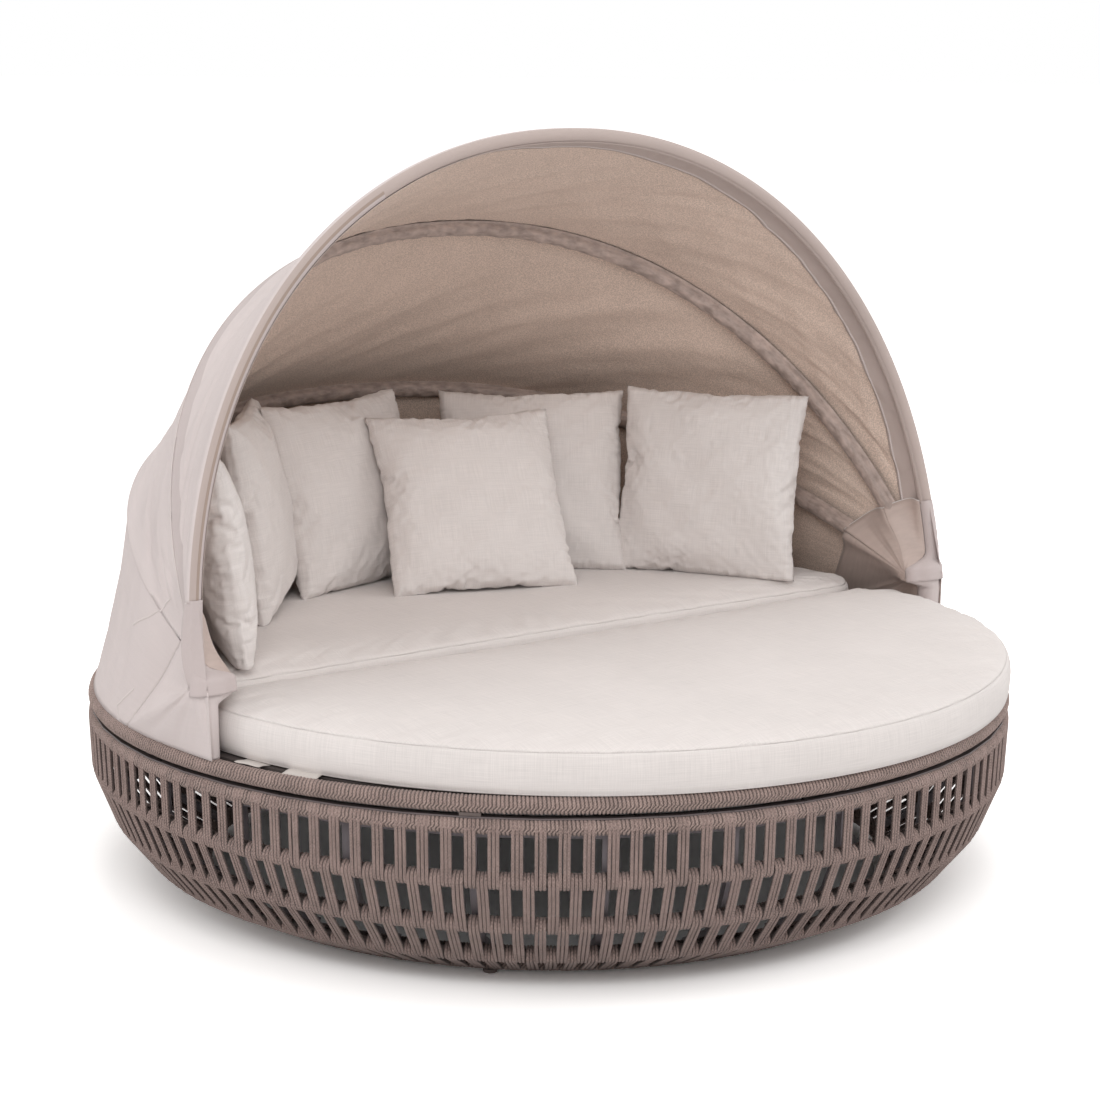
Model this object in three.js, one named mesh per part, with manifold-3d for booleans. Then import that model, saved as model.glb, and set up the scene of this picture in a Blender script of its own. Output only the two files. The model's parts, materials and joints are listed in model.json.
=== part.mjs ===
// Round outdoor daybed with a folding canopy.
// Millimetres, +Z up, the open front faces -Y, the origin is on the floor under the middle.
import * as THREE from 'three';
import { mergeVertices } from 'three/addons/utils/BufferGeometryUtils.js';
import Module from 'manifold-3d';

const wasm = await Module();
wasm.setup();

// Gap kept between pieces that touch
const fit = 0.3;
// How far a cutter runs past what it cuts
const overrun = 5;
// Sides of a small round piece or hole
const roundSides = 8;

// Bowl base: five rope-wound rings, from the rim down to the floor
const bowlRadius = 950;
const bowlDepth = 332;
const ringRadiusShares = [1, 0.995, 0.954, 0.888, 0.772];
const ringDropShares = [0, 0.314, 0.604, 0.836, 1];
const woundTube = 34;
const ringSegments = 48;
const tubeSides = 6;

// Ribs of the bowl, the rim band that ties them and the cross that carries the swivel
const ribCount = 24;
const ribWidth = 16;
const ribDepth = 14;
const rimBandHeight = 30;
const rimBandThickness = 8;
const rimBandInset = 3;
const crossBeamCount = 6;
const crossBeamWidth = 30;
const crossBeamHeight = 24;
const crossBeamDrop = 4;
const hubRadius = 110;
const hubThickness = 12;

// Rope strips between the rings: three ropes side by side in the upper tiers, twice that below
const stripCounts = [140, 140, 70, 70];
const stripShare = 0.54;
const stripThickness = 8;
const stripBandHeight = 14;
const bandCorners = 35;

// Floor glides under the lowest ring
const glideCount = 4;
const glideHeight = 7;
const glideRadius = 14;

// Swivel: bolt, two races and the cage of balls between them
const swivelBoltRadius = 8;
const swivelBoltClearance = 0.6;
const swivelHeadRadius = 15;
const swivelHeadHeight = 7;
const swivelNutRadius = 14;
const swivelNutHeight = 10;
const swivelThreadTail = 4;
const raceOuterRadius = 100;
const raceInnerRadius = 30;
const raceThickness = 5;
const cageThickness = 4;

// Seat: wound ring, welded frame, deck boards, track and its runners
const seatLift = 40;
const seatBeamCount = 6;
const seatBeamWidth = 25;
const seatBeamHeight = 23;
const deckThickness = 8;
const deckInset = 22;
const deckSplitY = -50;
const trackThickness = 3;
const trackWidth = 20;
const runnerCount = 4;
const runnerLength = 40;
const runnerWidth = 16;

// Cushions, each half a disc with a rounded corner at each end, drawn in from the seat ring
const frontCushionInset = 45;
const rearCushionInset = 82;
const frontCushion = {
  radius: bowlRadius - frontCushionInset,
  corner: 110,
  sideHeight: 88,
  crown: 20,
};
const rearCushion = {
  radius: bowlRadius - rearCushionInset,
  corner: 90,
  sideHeight: 102,
  crown: 14,
};
const cushionGap = 4;
const cushionPull = 10;
const cushionSteps = 36;

// Loose pillows, sized as shares of the bowl's radius
const pillowWidthShare = 0.4463;
const pillowThicknessShare = 0.1316;
const pillowRim = 5;
const pillowCells = 6;
const pillowSink = 9;

// Canopy pivots, carried by a bracket on the seat ring at each side
const pivotY = -178;
const pivotLift = 149;
const pivotBoltRadius = 6;
const pivotClearance = 0.35;
const bracketThickness = 6;
const bracketWidth = 52;
const bracketEyeRadius = 20;
const bracketFootWidth = 10;
const bracketFootHeight = 4;

// Canopy hoops: half width, reach as a share of the bowl's radius, roundness and lean back from upright
const hoopTube = 25;
const hoopSides = 6;
const hoopSteps = 28;
const hoopStepDivisions = 40;
const hoopStart = 30;
const lugThickness = 6;
const lugRadius = 17;
const lugCurveSteps = 8;
const lugNeckLength = 46;
const lugNeckWidth = 20;
const outerSpacerGap = 13;
const middleSpacerGap = 10;
const innerSpacerGap = 21;
const frontHalfWidth = bowlRadius;
const bracketX = frontHalfWidth - lugThickness / 2 - outerSpacerGap - bracketThickness / 2;
const middleHalfWidth = bracketX - bracketThickness / 2 - middleSpacerGap - lugThickness / 2;
const rearHalfWidth = middleHalfWidth - innerSpacerGap - lugThickness;
const hoops = {
  front: { halfWidth: frontHalfWidth, reachShare: 1.059, power: 2.14, lean: 8.4 },
  middle: { halfWidth: middleHalfWidth, reachShare: 1.022, power: 2.17, lean: 37 },
  rear: { halfWidth: rearHalfWidth, reachShare: 1.1126, power: 2.32, lean: 69.7 },
};
const spacerRadius = 10;
const capRadius = 10;
const capHeight = 6;

// Canopy cloth
const clothThickness = 3;
const clothSagShare = 0.028;
const clothRows = 3;
const clothSeamGap = 0.8;
const clothSeamEdge = 1.5;
const clothEndStep = 2;
const sleeveAngles = [120, 60, 0];
const sleeveSlack = 2.4;
const skirtFoldCount = 6;
const skirtFold = 5;
const skirtSag = 8;
const hemOutset = 4;
const hemEndShare = 0.085;
const patchBulge = 21;
const patchCrown = 8;
const patchGapShare = 0.008;

// Sizes that follow from the ones above
const radians = Math.PI / 180;
const tubeRadius = woundTube / 2;
const tubeFlat = tubeRadius * Math.cos(Math.PI / tubeSides);
const floorRingZ = glideHeight + fit + tubeFlat;
const rimZ = floorRingZ + bowlDepth;
const seatRingZ = rimZ + seatLift;
const seatTop = seatRingZ + tubeFlat;
const pivotZ = seatRingZ + pivotLift;
const bowlRings = ringRadiusShares.map((share, index) => ({
  radius: share * bowlRadius,
  z: rimZ - ringDropShares[index] * bowlDepth,
}));

// Turns a closed geometry into a solid for a boolean
function solidOf(geometry) {
  const bare = geometry.clone();
  bare.deleteAttribute('normal');
  bare.deleteAttribute('uv');
  const merged = mergeVertices(bare, 1e-3);
  return new wasm.Manifold(new wasm.Mesh({
    numProp: 3,
    vertProperties: new Float32Array(merged.attributes.position.array),
    triVerts: new Uint32Array(merged.index.array),
  }));
}

function geometryOf(solid) {
  const mesh = solid.getMesh();
  const geometry = new THREE.BufferGeometry();
  const corners = mesh.vertProperties;
  geometry.setAttribute('position', new THREE.BufferAttribute(new Float32Array(corners), 3));
  geometry.setIndex(new THREE.BufferAttribute(new Uint32Array(mesh.triVerts), 1));
  geometry.computeVertexNormals();
  return geometry;
}

function joined(first, ...others) {
  let solid = solidOf(first);
  for (const other of others) {
    solid = solid.add(solidOf(other));
  }
  return geometryOf(solid);
}

function cut(body, ...cutters) {
  let solid = solidOf(body);
  for (const cutter of cutters) {
    solid = solid.subtract(solidOf(cutter));
  }
  return geometryOf(solid);
}

function material(color, roughness, metalness) {
  return new THREE.MeshStandardMaterial({ color, roughness, metalness });
}

function piece(name, geometry, finish, parent) {
  const mesh = new THREE.Mesh(geometry, finish());
  mesh.name = name;
  parent.add(mesh);
  return mesh;
}

// Finishes
const ropeFinish = () => material(0x8c7d74, 0.85, 0);
const frameFinish = () => material(0x9a9790, 0.45, 0.6);
const darkFinish = () => material(0x3a3836, 0.5, 0.5);
const deckFinish = () => material(0x4a4744, 0.9, 0);
const steelFinish = () => material(0xb4b4b2, 0.35, 0.9);
const nylonFinish = () => material(0x2c2b2a, 0.6, 0);
const linenFinish = () => material(0xe4dcd3, 0.95, 0);
const canopyFinish = () => material(0xd3c6bf, 0.9, 0);
const patchFinish = () => material(0xa89a91, 0.7, 0);

// A ring swept round the vertical axis from a closed section of [radius, z] points
function turned(section, segments) {
  const points = section.map(([radius, z]) => new THREE.Vector2(radius, z));
  points.push(points[0].clone());
  const geometry = new THREE.LatheGeometry(points, segments);
  geometry.rotateX(Math.PI / 2);
  return geometry;
}

function flatRing(inner, outer, bottom, top, segments) {
  return turned([[outer, bottom], [outer, top], [inner, top], [inner, bottom]], segments);
}

// A disc or a stepped pin on the vertical axis, from [radius, z] points listed upwards
function pin(section, segments) {
  const bottom = section[0][1];
  const top = section[section.length - 1][1];
  const points = [[0, bottom], ...section, [0, top]].map(([radius, z]) => new THREE.Vector2(radius, z));
  const geometry = new THREE.LatheGeometry(points, segments);
  geometry.rotateX(Math.PI / 2);
  return geometry;
}

// A round pin or hole along X, made of [radius, x] points listed towards +X
function crossPin(section) {
  const geometry = pin(section, roundSides);
  geometry.rotateY(Math.PI / 2);
  return geometry;
}

// Radius of a faceted hole that clears a round pin
function holeRadius(pinRadius, clearance) {
  return (pinRadius + clearance) / Math.cos(Math.PI / roundSides);
}

function box(sizeX, sizeY, sizeZ, x, y, z) {
  const geometry = new THREE.BoxGeometry(sizeX, sizeY, sizeZ);
  geometry.translate(x, y, z);
  return geometry;
}

// A radial bar from one radius to another, turned to its angle
function radialBar(from, to, width, bottom, top, angle) {
  const geometry = box(to - from, width, top - bottom, (from + to) / 2, 0, (bottom + top) / 2);
  geometry.rotateZ(angle);
  return geometry;
}

// Rope-wound ring: a tube with a flat above and below
function woundRing(radius) {
  const section = [];
  for (let side = 0; side < tubeSides; side += 1) {
    const angle = (side / tubeSides) * 2 * Math.PI;
    section.push([radius + tubeRadius * Math.cos(angle), tubeRadius * Math.sin(angle)]);
  }
  return turned(section, ringSegments);
}

// How far the middle of a ring's facet lies inside its corners
function facetDepth(radius) {
  return radius * (1 - Math.cos(Math.PI / ringSegments));
}

// Ribs: they follow the rings on the inside, clear of the rings' facets
const ribSeat = fit + (ribWidth / 2) * Math.tan(Math.PI / ringSegments);

// Directions that point into the bowl at each ring, across the line through its neighbours
function inwardAt(index) {
  const before = bowlRings[Math.max(index - 1, 0)];
  const after = bowlRings[Math.min(index + 1, bowlRings.length - 1)];
  const along = new THREE.Vector2(after.radius - before.radius, after.z - before.z).normalize();
  return new THREE.Vector2(along.y, -along.x);
}

function ribGeometry(angle) {
  const outer = bowlRings.map((ring, index) => {
    const inward = inwardAt(index).multiplyScalar(tubeRadius + ribSeat);
    return new THREE.Vector2(ring.radius, ring.z).add(inward);
  });
  const inner = outer.map((point, index) => point.clone().add(inwardAt(index).multiplyScalar(ribDepth)));
  const shape = new THREE.Shape([...outer, ...inner.reverse()]);
  const geometry = new THREE.ExtrudeGeometry(shape, { depth: ribWidth, bevelEnabled: false });
  geometry.rotateX(Math.PI / 2);
  geometry.translate(0, ribWidth / 2, 0);
  geometry.rotateZ(angle);
  return geometry;
}

// Rib cage: upright ribs joined by a flat band under the rim
function ribCageGeometry() {
  const bandOuter = bowlRadius - tubeRadius - ribSeat - rimBandInset;
  const bandInner = bandOuter - rimBandThickness;
  const band = flatRing(bandInner, bandOuter, rimZ - rimBandHeight, rimZ, ribCount);
  const ribs = [];
  for (let index = 0; index < ribCount; index += 1) {
    ribs.push(ribGeometry((index / ribCount) * 2 * Math.PI));
  }
  return joined(band, ...ribs);
}

const crossTop = rimZ - crossBeamDrop;
const crossBottom = crossTop - crossBeamHeight;
const baseHubTop = crossTop + hubThickness / 2;
const boltHole = holeRadius(swivelBoltRadius, swivelBoltClearance);

// Cross under the seat: beams from the hub plate to the ribs' inner faces
function baseCrossGeometry() {
  const drop = (rimZ - crossBottom) / (rimZ - bowlRings[1].z);
  const wall = THREE.MathUtils.lerp(bowlRings[0].radius, bowlRings[1].radius, drop);
  const end = wall - tubeRadius - ribSeat - ribDepth - fit;
  const hub = pin([[hubRadius, baseHubTop - hubThickness], [hubRadius, baseHubTop]], ringSegments / 2);
  const beams = [];
  for (let index = 0; index < crossBeamCount; index += 1) {
    const angle = (index / crossBeamCount) * 2 * Math.PI;
    beams.push(radialBar(hubRadius / 2, end, crossBeamWidth, crossBottom, crossTop, angle));
  }
  const hole = pin([[boltHole, crossBottom - overrun], [boltHole, baseHubTop + overrun]], roundSides);
  return cut(joined(hub, ...beams), hole);
}

// Joins two closed rows of points that run the same way round, by their angles.
// The first row lies to the left of the second when seen from outside with the angle rising.
function stitch(faces, first, second) {
  let i = 0;
  let j = 0;
  const angleOf = (row, index) => row[index % row.length].angle + (index >= row.length ? 2 * Math.PI : 0);
  while (i < first.length || j < second.length) {
    const a = first[i % first.length].index;
    const b = second[j % second.length].index;
    const stepFirst = j >= second.length
      || (i < first.length && angleOf(first, i + 1) <= angleOf(second, j + 1));
    if (stepFirst) {
      faces.push(a, b, first[(i + 1) % first.length].index);
      i += 1;
    } else {
      faces.push(a, b, second[(j + 1) % second.length].index);
      j += 1;
    }
  }
}

// Rope strips hanging from a narrow band, between two rings; each strip is a keel behind a flat face
function weaveTierGeometry(upper, lower, count, phase) {
  const start = new THREE.Vector2(upper.radius, upper.z);
  const end = new THREE.Vector2(lower.radius, lower.z);
  const along = end.clone().sub(start).normalize();
  const out = new THREE.Vector2(-along.y, along.x).multiplyScalar(stripThickness / 2);
  const flatTurn = (2 * Math.PI) / tubeSides;
  const turn = Math.atan2(along.x, -along.y);
  const skew = Math.abs(turn - Math.round(turn / flatTurn) * flatTurn);
  const reach = tubeFlat / Math.cos(skew) + (stripThickness / 2) * Math.tan(skew) + fit;
  start.addScaledVector(along, reach + facetDepth(upper.radius) * Math.abs(along.x));
  end.addScaledVector(along, -reach);
  const bandEnd = start.clone().addScaledVector(along, stripBandHeight);
  const pitch = (2 * Math.PI) / count;
  const halfStrip = (pitch * stripShare) / 2;
  const positions = [];
  const place = (profile, side, angle) => {
    const radius = profile.x + side * out.x;
    positions.push(radius * Math.cos(angle), radius * Math.sin(angle), profile.y + side * out.y);
    return { index: positions.length / 3 - 1, angle };
  };
  const frontRow = (profile) => {
    const row = [];
    for (let strip = 0; strip < count; strip += 1) {
      const centre = (strip + phase) * pitch;
      row.push(place(profile, 1, centre - halfStrip), place(profile, 1, centre + halfStrip));
    }
    return row;
  };
  const keelRow = (profile) => {
    const row = [];
    for (let strip = 0; strip < count; strip += 1) {
      row.push(place(profile, -1, (strip + phase) * pitch));
    }
    return row;
  };
  const edgeRow = (side) => {
    const row = [];
    for (let corner = 0; corner < bandCorners; corner += 1) {
      row.push(place(start, side, (corner * 2 * Math.PI) / bandCorners + phase * pitch));
    }
    return row;
  };
  const topFront = edgeRow(1);
  const topKeel = edgeRow(-1);
  const bandFront = frontRow(bandEnd);
  const bandKeel = keelRow(bandEnd);
  const endFront = frontRow(end);
  const endKeel = keelRow(end);
  const faces = [];
  stitch(faces, topFront, bandFront);
  stitch(faces, bandKeel, topKeel);
  stitch(faces, topKeel, topFront);
  for (let strip = 0; strip < count; strip += 1) {
    const next = (strip + 1) % count;
    const [left, right] = [bandFront[strip * 2].index, bandFront[strip * 2 + 1].index];
    const [endLeft, endRight] = [endFront[strip * 2].index, endFront[strip * 2 + 1].index];
    const [keel, endPoint] = [bandKeel[strip].index, endKeel[strip].index];
    const [nextLeft, nextKeel] = [bandFront[next * 2].index, bandKeel[next].index];
    faces.push(left, endLeft, right, right, endLeft, endRight);
    faces.push(keel, endPoint, left, left, endPoint, endLeft);
    faces.push(right, endRight, keel, keel, endRight, endPoint);
    faces.push(endLeft, endPoint, endRight);
    faces.push(right, keel, nextLeft, nextLeft, keel, nextKeel);
  }
  const geometry = new THREE.BufferGeometry();
  geometry.setAttribute('position', new THREE.Float32BufferAttribute(positions, 3));
  geometry.setIndex(faces);
  return geometry;
}

// Outline of a cushion: half a disc on one side of its straight edge, with round corners
function cushionOutline(cushion) {
  const { radius, corner } = cushion;
  const cornerX = Math.sqrt((radius - corner) ** 2 - corner ** 2);
  const tilt = Math.atan2(corner, cornerX);
  const path = new THREE.Path();
  path.moveTo(cornerX, 0);
  path.absarc(cornerX, corner, corner, -Math.PI / 2, tilt, false);
  path.absarc(0, 0, radius, tilt, Math.PI - tilt, false);
  path.absarc(-cornerX, corner, corner, Math.PI - tilt, Math.PI * 1.5, false);
  path.lineTo(cornerX, 0);
  const points = path.getSpacedPoints(cushionSteps);
  points.pop();
  return points.map((point) => {
    const pull = cushionPull * Math.max(0, 1 - (point.x / cornerX) ** 2);
    return point.y < corner ? point.setY(point.y + pull * (1 - point.y / corner)) : point;
  });
}

// Crown and sides: share of the way to the middle, share of the side and share of the crown
const cushionRowShares = [
  [0.045, 0, 0],
  [0.008, 0.07, 0],
  [0, 0.5, 0],
  [0.006, 0.94, 0],
  [0.035, 1, 0.12],
  [0.2, 1, 0.62],
  [0.55, 1, 0.95],
];
const cushionMiddleShare = 0.45;

function cushionGeometry(cushion, side) {
  const outline = cushionOutline(cushion);
  const middle = new THREE.Vector2(0, cushion.radius * cushionMiddleShare);
  const positions = [];
  const faces = [];
  const count = outline.length;
  for (const [share, sideShare, crownShare] of cushionRowShares) {
    for (const point of outline) {
      const spot = point.clone().lerp(middle, share);
      const z = sideShare * cushion.sideHeight + crownShare * cushion.crown;
      positions.push(spot.x * side, spot.y * side, z);
    }
  }
  const rows = cushionRowShares.length;
  for (let row = 0; row + 1 < rows; row += 1) {
    for (let step = 0; step < count; step += 1) {
      const a = row * count + step;
      const b = row * count + ((step + 1) % count);
      faces.push(a, b, b + count, a, b + count, a + count);
    }
  }
  positions.push(0, middle.y * side, 0, 0, middle.y * side, cushion.sideHeight + cushion.crown);
  const [underside, top] = [rows * count, rows * count + 1];
  for (let step = 0; step < count; step += 1) {
    const next = (step + 1) % count;
    faces.push(underside, next, step, (rows - 1) * count + step, (rows - 1) * count + next, top);
  }
  const geometry = new THREE.BufferGeometry();
  geometry.setAttribute('position', new THREE.Float32BufferAttribute(positions, 3));
  geometry.setIndex(faces);
  return geometry;
}

// Pillow standing on its lower edge: crowned faces, sides drawn in between the corners
const pillowWidth = pillowWidthShare * bowlRadius;
const pillowThickness = pillowThicknessShare * bowlRadius;
const pillowDrawShare = 0.07;
const pillowCrownPower = 0.62;
// Side of a cube whose corners lie one unit out from its middle
const unitCube = 2;

function pillowGeometry() {
  const half = pillowWidth / 2;
  const spotAt = (u, v, face) => {
    const x = half * u * (1 - pillowDrawShare * (1 - v * v) * u * u);
    const z = half * (1 + v * (1 - pillowDrawShare * (1 - u * u) * v * v));
    const crown = ((1 - u * u) * (1 - v * v)) ** pillowCrownPower;
    return [x, face * (pillowRim / 2 + (pillowThickness / 2 - pillowRim / 2) * crown), z];
  };
  const geometry = new THREE.BoxGeometry(unitCube, unitCube, unitCube, pillowCells, 1, pillowCells);
  const corners = geometry.attributes.position;
  for (let index = 0; index < corners.count; index += 1) {
    const face = Math.sign(corners.getY(index));
    corners.setXYZ(index, ...spotAt(corners.getX(index), corners.getZ(index), face));
  }
  return geometry;
}

// Pillows round the back, from the left: place of the lower edge's middle as shares of the rear
// cushion's radius, with the turn and the lean back in degrees
const pillowPlaceShares = [
  { right: -0.782, back: 0.231, turn: 80, lean: 0 },
  { right: -0.521, back: 0.505, turn: 50, lean: 6 },
  { right: -0.157, back: 0.567, turn: 15, lean: 17 },
  { right: 0.044, back: 0.325, turn: -16.5, lean: 31 },
  { right: 0.302, back: 0.482, turn: -34, lean: 24 },
  { right: 0.641, back: 0.19, turn: -56, lean: 14 },
];

// Centre line of a canopy hoop, in its own upright plane with the pivots on the X axis
class HoopCurve extends THREE.Curve {
  constructor(hoop) {
    super();
    this.hoop = hoop;
    this.reach = hoop.reachShare * bowlRadius;
    this.first = Math.asin((hoopStart / this.reach) ** (hoop.power / 2));
  }

  getPoint(share, target = new THREE.Vector3()) {
    const { halfWidth, power } = this.hoop;
    const angle = this.first + share * (Math.PI - 2 * this.first);
    const across = Math.abs(Math.cos(angle)) ** (2 / power) * Math.sign(Math.cos(angle));
    return target.set(-halfWidth * across, 0, this.reach * Math.sin(angle) ** (2 / power));
  }
}

for (const hoop of Object.values(hoops)) {
  hoop.curve = new HoopCurve(hoop);
  hoop.curve.arcLengthDivisions = hoopSteps * hoopStepDivisions;
  hoop.turn = new THREE.Matrix4().makeRotationX(-hoop.lean * radians);
}

function polygon(radius, sides, start) {
  const points = [];
  for (let side = 0; side < sides; side += 1) {
    const angle = start + (side / sides) * 2 * Math.PI;
    points.push(new THREE.Vector2(radius * Math.cos(angle), radius * Math.sin(angle)));
  }
  return new THREE.Shape(points);
}

// Flat eye with a neck, standing in the YZ plane, its hole on the X axis
function eyeGeometry(x, thickness, radius, neckWidth, neckEnd) {
  const shape = new THREE.Shape();
  const shoulder = Math.asin(neckWidth / 2 / radius);
  const from = Math.PI / 2 - shoulder;
  shape.moveTo(neckWidth / 2, neckEnd);
  shape.absarc(0, 0, radius, from, from - (2 * Math.PI - 2 * shoulder), true);
  shape.lineTo(-neckWidth / 2, neckEnd);
  const geometry = new THREE.ExtrudeGeometry(shape, {
    depth: thickness,
    bevelEnabled: false,
    curveSegments: lugCurveSteps,
  });
  geometry.translate(0, 0, -thickness / 2);
  const right = new THREE.Vector3(1, 0, 0);
  const back = new THREE.Vector3(0, 1, 0);
  const up = new THREE.Vector3(0, 0, 1);
  geometry.applyMatrix4(new THREE.Matrix4().makeBasis(back, up, right));
  geometry.translate(x, 0, 0);
  return geometry;
}

function pivotHole(halfWidth) {
  const radius = holeRadius(pivotBoltRadius, pivotClearance);
  return crossPin([[radius, halfWidth - lugThickness], [radius, halfWidth + lugThickness]]);
}

function hoopGeometry(hoop) {
  const tube = new THREE.ExtrudeGeometry(polygon(hoopTube / 2, hoopSides, 0), {
    steps: hoopSteps,
    extrudePath: hoop.curve,
  });
  const lugs = [-1, 1].map((side) => (
    eyeGeometry(side * hoop.halfWidth, lugThickness, lugRadius, lugNeckWidth, lugNeckLength)
  ));
  const rightHole = pivotHole(hoop.halfWidth);
  const leftHole = pivotHole(hoop.halfWidth).rotateZ(Math.PI);
  return cut(joined(tube, ...lugs), rightHole, leftHole);
}

// Place and directions on a hoop at one of its steps, seen from the pivot axis
function hoopSpot(hoop, step) {
  const share = step / hoopSteps;
  const centre = hoop.curve.getPointAt(share);
  const along = hoop.curve.getTangentAt(share);
  const outward = new THREE.Vector3(-along.z, 0, along.x);
  const forward = new THREE.Vector3(0, -1, 0);
  for (const vector of [centre, outward, forward]) {
    vector.applyMatrix4(hoop.turn);
  }
  return { centre, outward, forward };
}

// The sag makes the cloth leave a hoop at a slant, so it starts a little further out than the skin
const sagSlant = Math.atan(4 * clothSagShare * (1 - 1 / clothRows));
const clothLift = (hoopTube / 2 + fit) / Math.cos(sagSlant);

// A closed cloth from an outer and an inner grid of points, each a list of columns.
// Seen from outside the columns run to the right and the points of a column run away.
function clothGeometry(outer, inner) {
  const columns = outer.length;
  const rows = outer[0].length;
  const positions = [];
  for (const grid of [outer, inner]) {
    for (const point of grid.flat()) {
      positions.push(point.x, point.y, point.z);
    }
  }
  const faces = [];
  const at = (sheet, row, column) => (sheet * columns + column) * rows + row;
  const quad = (a, b, c, d) => faces.push([a, b, c], [a, c, d]);
  const lastRow = rows - 1;
  const lastColumn = columns - 1;
  for (let row = 0; row < lastRow; row += 1) {
    for (let column = 0; column < lastColumn; column += 1) {
      quad(at(0, row, column), at(0, row, column + 1), at(0, row + 1, column + 1), at(0, row + 1, column));
      quad(at(1, row, column), at(1, row + 1, column), at(1, row + 1, column + 1), at(1, row, column + 1));
    }
    quad(at(0, row, 0), at(0, row + 1, 0), at(1, row + 1, 0), at(1, row, 0));
    const [near, far] = [at(0, row, lastColumn), at(0, row + 1, lastColumn)];
    quad(far, near, at(1, row, lastColumn), at(1, row + 1, lastColumn));
  }
  for (let column = 0; column < lastColumn; column += 1) {
    quad(at(0, 0, column + 1), at(0, 0, column), at(1, 0, column), at(1, 0, column + 1));
    const [near, far] = [at(0, lastRow, column), at(0, lastRow, column + 1)];
    quad(near, far, at(1, lastRow, column + 1), at(1, lastRow, column));
  }
  const geometry = new THREE.BufferGeometry();
  geometry.setAttribute('position', new THREE.Float32BufferAttribute(positions, 3));
  geometry.setIndex(faces.flat());
  return withoutSlivers(geometry);
}

// Merges corners that meet and drops the faces that have no area left
function withoutSlivers(geometry) {
  const merged = mergeVertices(geometry, 1e-3);
  const corners = merged.index.array;
  const kept = [];
  for (let face = 0; face < corners.length; face += 3) {
    const [a, b, c] = corners.slice(face, face + 3);
    if (a !== b && b !== c && c !== a) {
      kept.push(a, b, c);
    }
  }
  merged.setIndex(kept);
  return merged;
}

// The same geometry on the other side of X = 0
function mirrored(geometry) {
  const copy = geometry.clone().scale(-1, 1, 1);
  const corners = copy.index.array;
  const turned = [];
  for (let face = 0; face < corners.length; face += 3) {
    turned.push(corners[face], corners[face + 2], corners[face + 1]);
  }
  copy.setIndex(turned);
  return copy;
}

const firstStep = clothEndStep;
const lastStep = hoopSteps - clothEndStep;

// Point on the skin over a hoop, an angle round its tube from straight out towards the front
function overHoop(spot, angle, lift, shift) {
  return spot.centre.clone()
    .addScaledVector(spot.outward, lift * Math.cos(angle * radians))
    .addScaledVector(spot.forward, lift * Math.sin(angle * radians) + shift);
}

// Direction out of the cloth between two points, across the line that joins them
function clothNormal(across, outward) {
  return outward.clone().addScaledVector(across, -outward.dot(across) / across.lengthSq()).normalize();
}

// One strip of cloth from a hoop to the one behind it, sagging in between
function spanColumn(from, to, lift) {
  const across = to.centre.clone().sub(from.centre);
  const normal = clothNormal(across, from.outward.clone().add(to.outward));
  const points = [];
  for (let index = 0; index <= clothRows; index += 1) {
    const share = index / clothRows;
    const sag = 4 * share * (1 - share) * clothSagShare * across.length();
    const point = from.centre.clone().addScaledVector(across, share);
    points.push(point.addScaledVector(normal, lift - sag));
  }
  // The last strip along the seam stays in front of it
  const ahead = points[clothRows].clone().sub(to.centre).dot(to.forward);
  const short = clothSeamGap / 2 + clothSeamEdge - ahead;
  points[clothRows].addScaledVector(to.forward, Math.max(short, 0));
  points.push(overHoop(to, 0, lift, clothSeamGap / 2));
  return points;
}

// The front panel starts as a sleeve that wraps the front hoop from below
function frontPanelColumn(step, lift) {
  const front = hoopSpot(hoops.front, step);
  const sleeve = sleeveAngles.map((angle) => overHoop(front, angle, lift + sleeveSlack, 0));
  return [...sleeve, ...spanColumn(front, hoopSpot(hoops.middle, step), lift)];
}

function rearPanelColumn(step, lift) {
  const middle = hoopSpot(hoops.middle, step);
  const span = spanColumn(middle, hoopSpot(hoops.rear, step), lift);
  return [overHoop(middle, 0, lift, -clothSeamGap / 2), ...span];
}

// Hem of the back skirt, on top of the seat ring, from the left pivot round the back to the right
const hemStart = Math.asin(pivotY / bowlRadius);

function hemPoint(share, lift) {
  const angle = hemStart + (1 - share) * (Math.PI - 2 * hemStart);
  const radius = bowlRadius + hemOutset + lift;
  const height = seatTop + fit - pivotZ;
  return new THREE.Vector3(radius * Math.cos(angle), radius * Math.sin(angle) - pivotY, height);
}

// One strip of the skirt, from the rear hoop down to the hem, with shallow upright folds
function skirtColumn(step, lift) {
  const rear = hoopSpot(hoops.rear, step);
  const progress = (step - firstStep) / (lastStep - firstStep);
  const hemShare = hemEndShare + progress * (1 - 2 * hemEndShare);
  const start = overHoop(rear, 0, lift, -clothSeamGap / 2);
  const end = hemPoint(hemShare, lift - clothLift);
  const radial = new THREE.Vector3(end.x, end.y + pivotY, 0).normalize();
  const fold = skirtFold * Math.sin(progress * skirtFoldCount * 2 * Math.PI) - skirtSag;
  const points = [];
  for (let index = 0; index <= clothRows; index += 1) {
    const share = index / clothRows;
    const level = Math.sin(share * Math.PI);
    points.push(start.clone().lerp(end, share).addScaledVector(radial, level * fold));
  }
  return points;
}

// The outer and the inner grid of a cloth, from a function that gives one column
function sheetGeometry(columnAt) {
  const [outer, inner] = [clothLift + clothThickness, clothLift].map((lift) => {
    const grid = [];
    for (let step = firstStep; step <= lastStep; step += 1) {
      grid.push(columnAt(step, lift));
    }
    return grid;
  });
  return clothGeometry(outer, inner);
}

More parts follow.
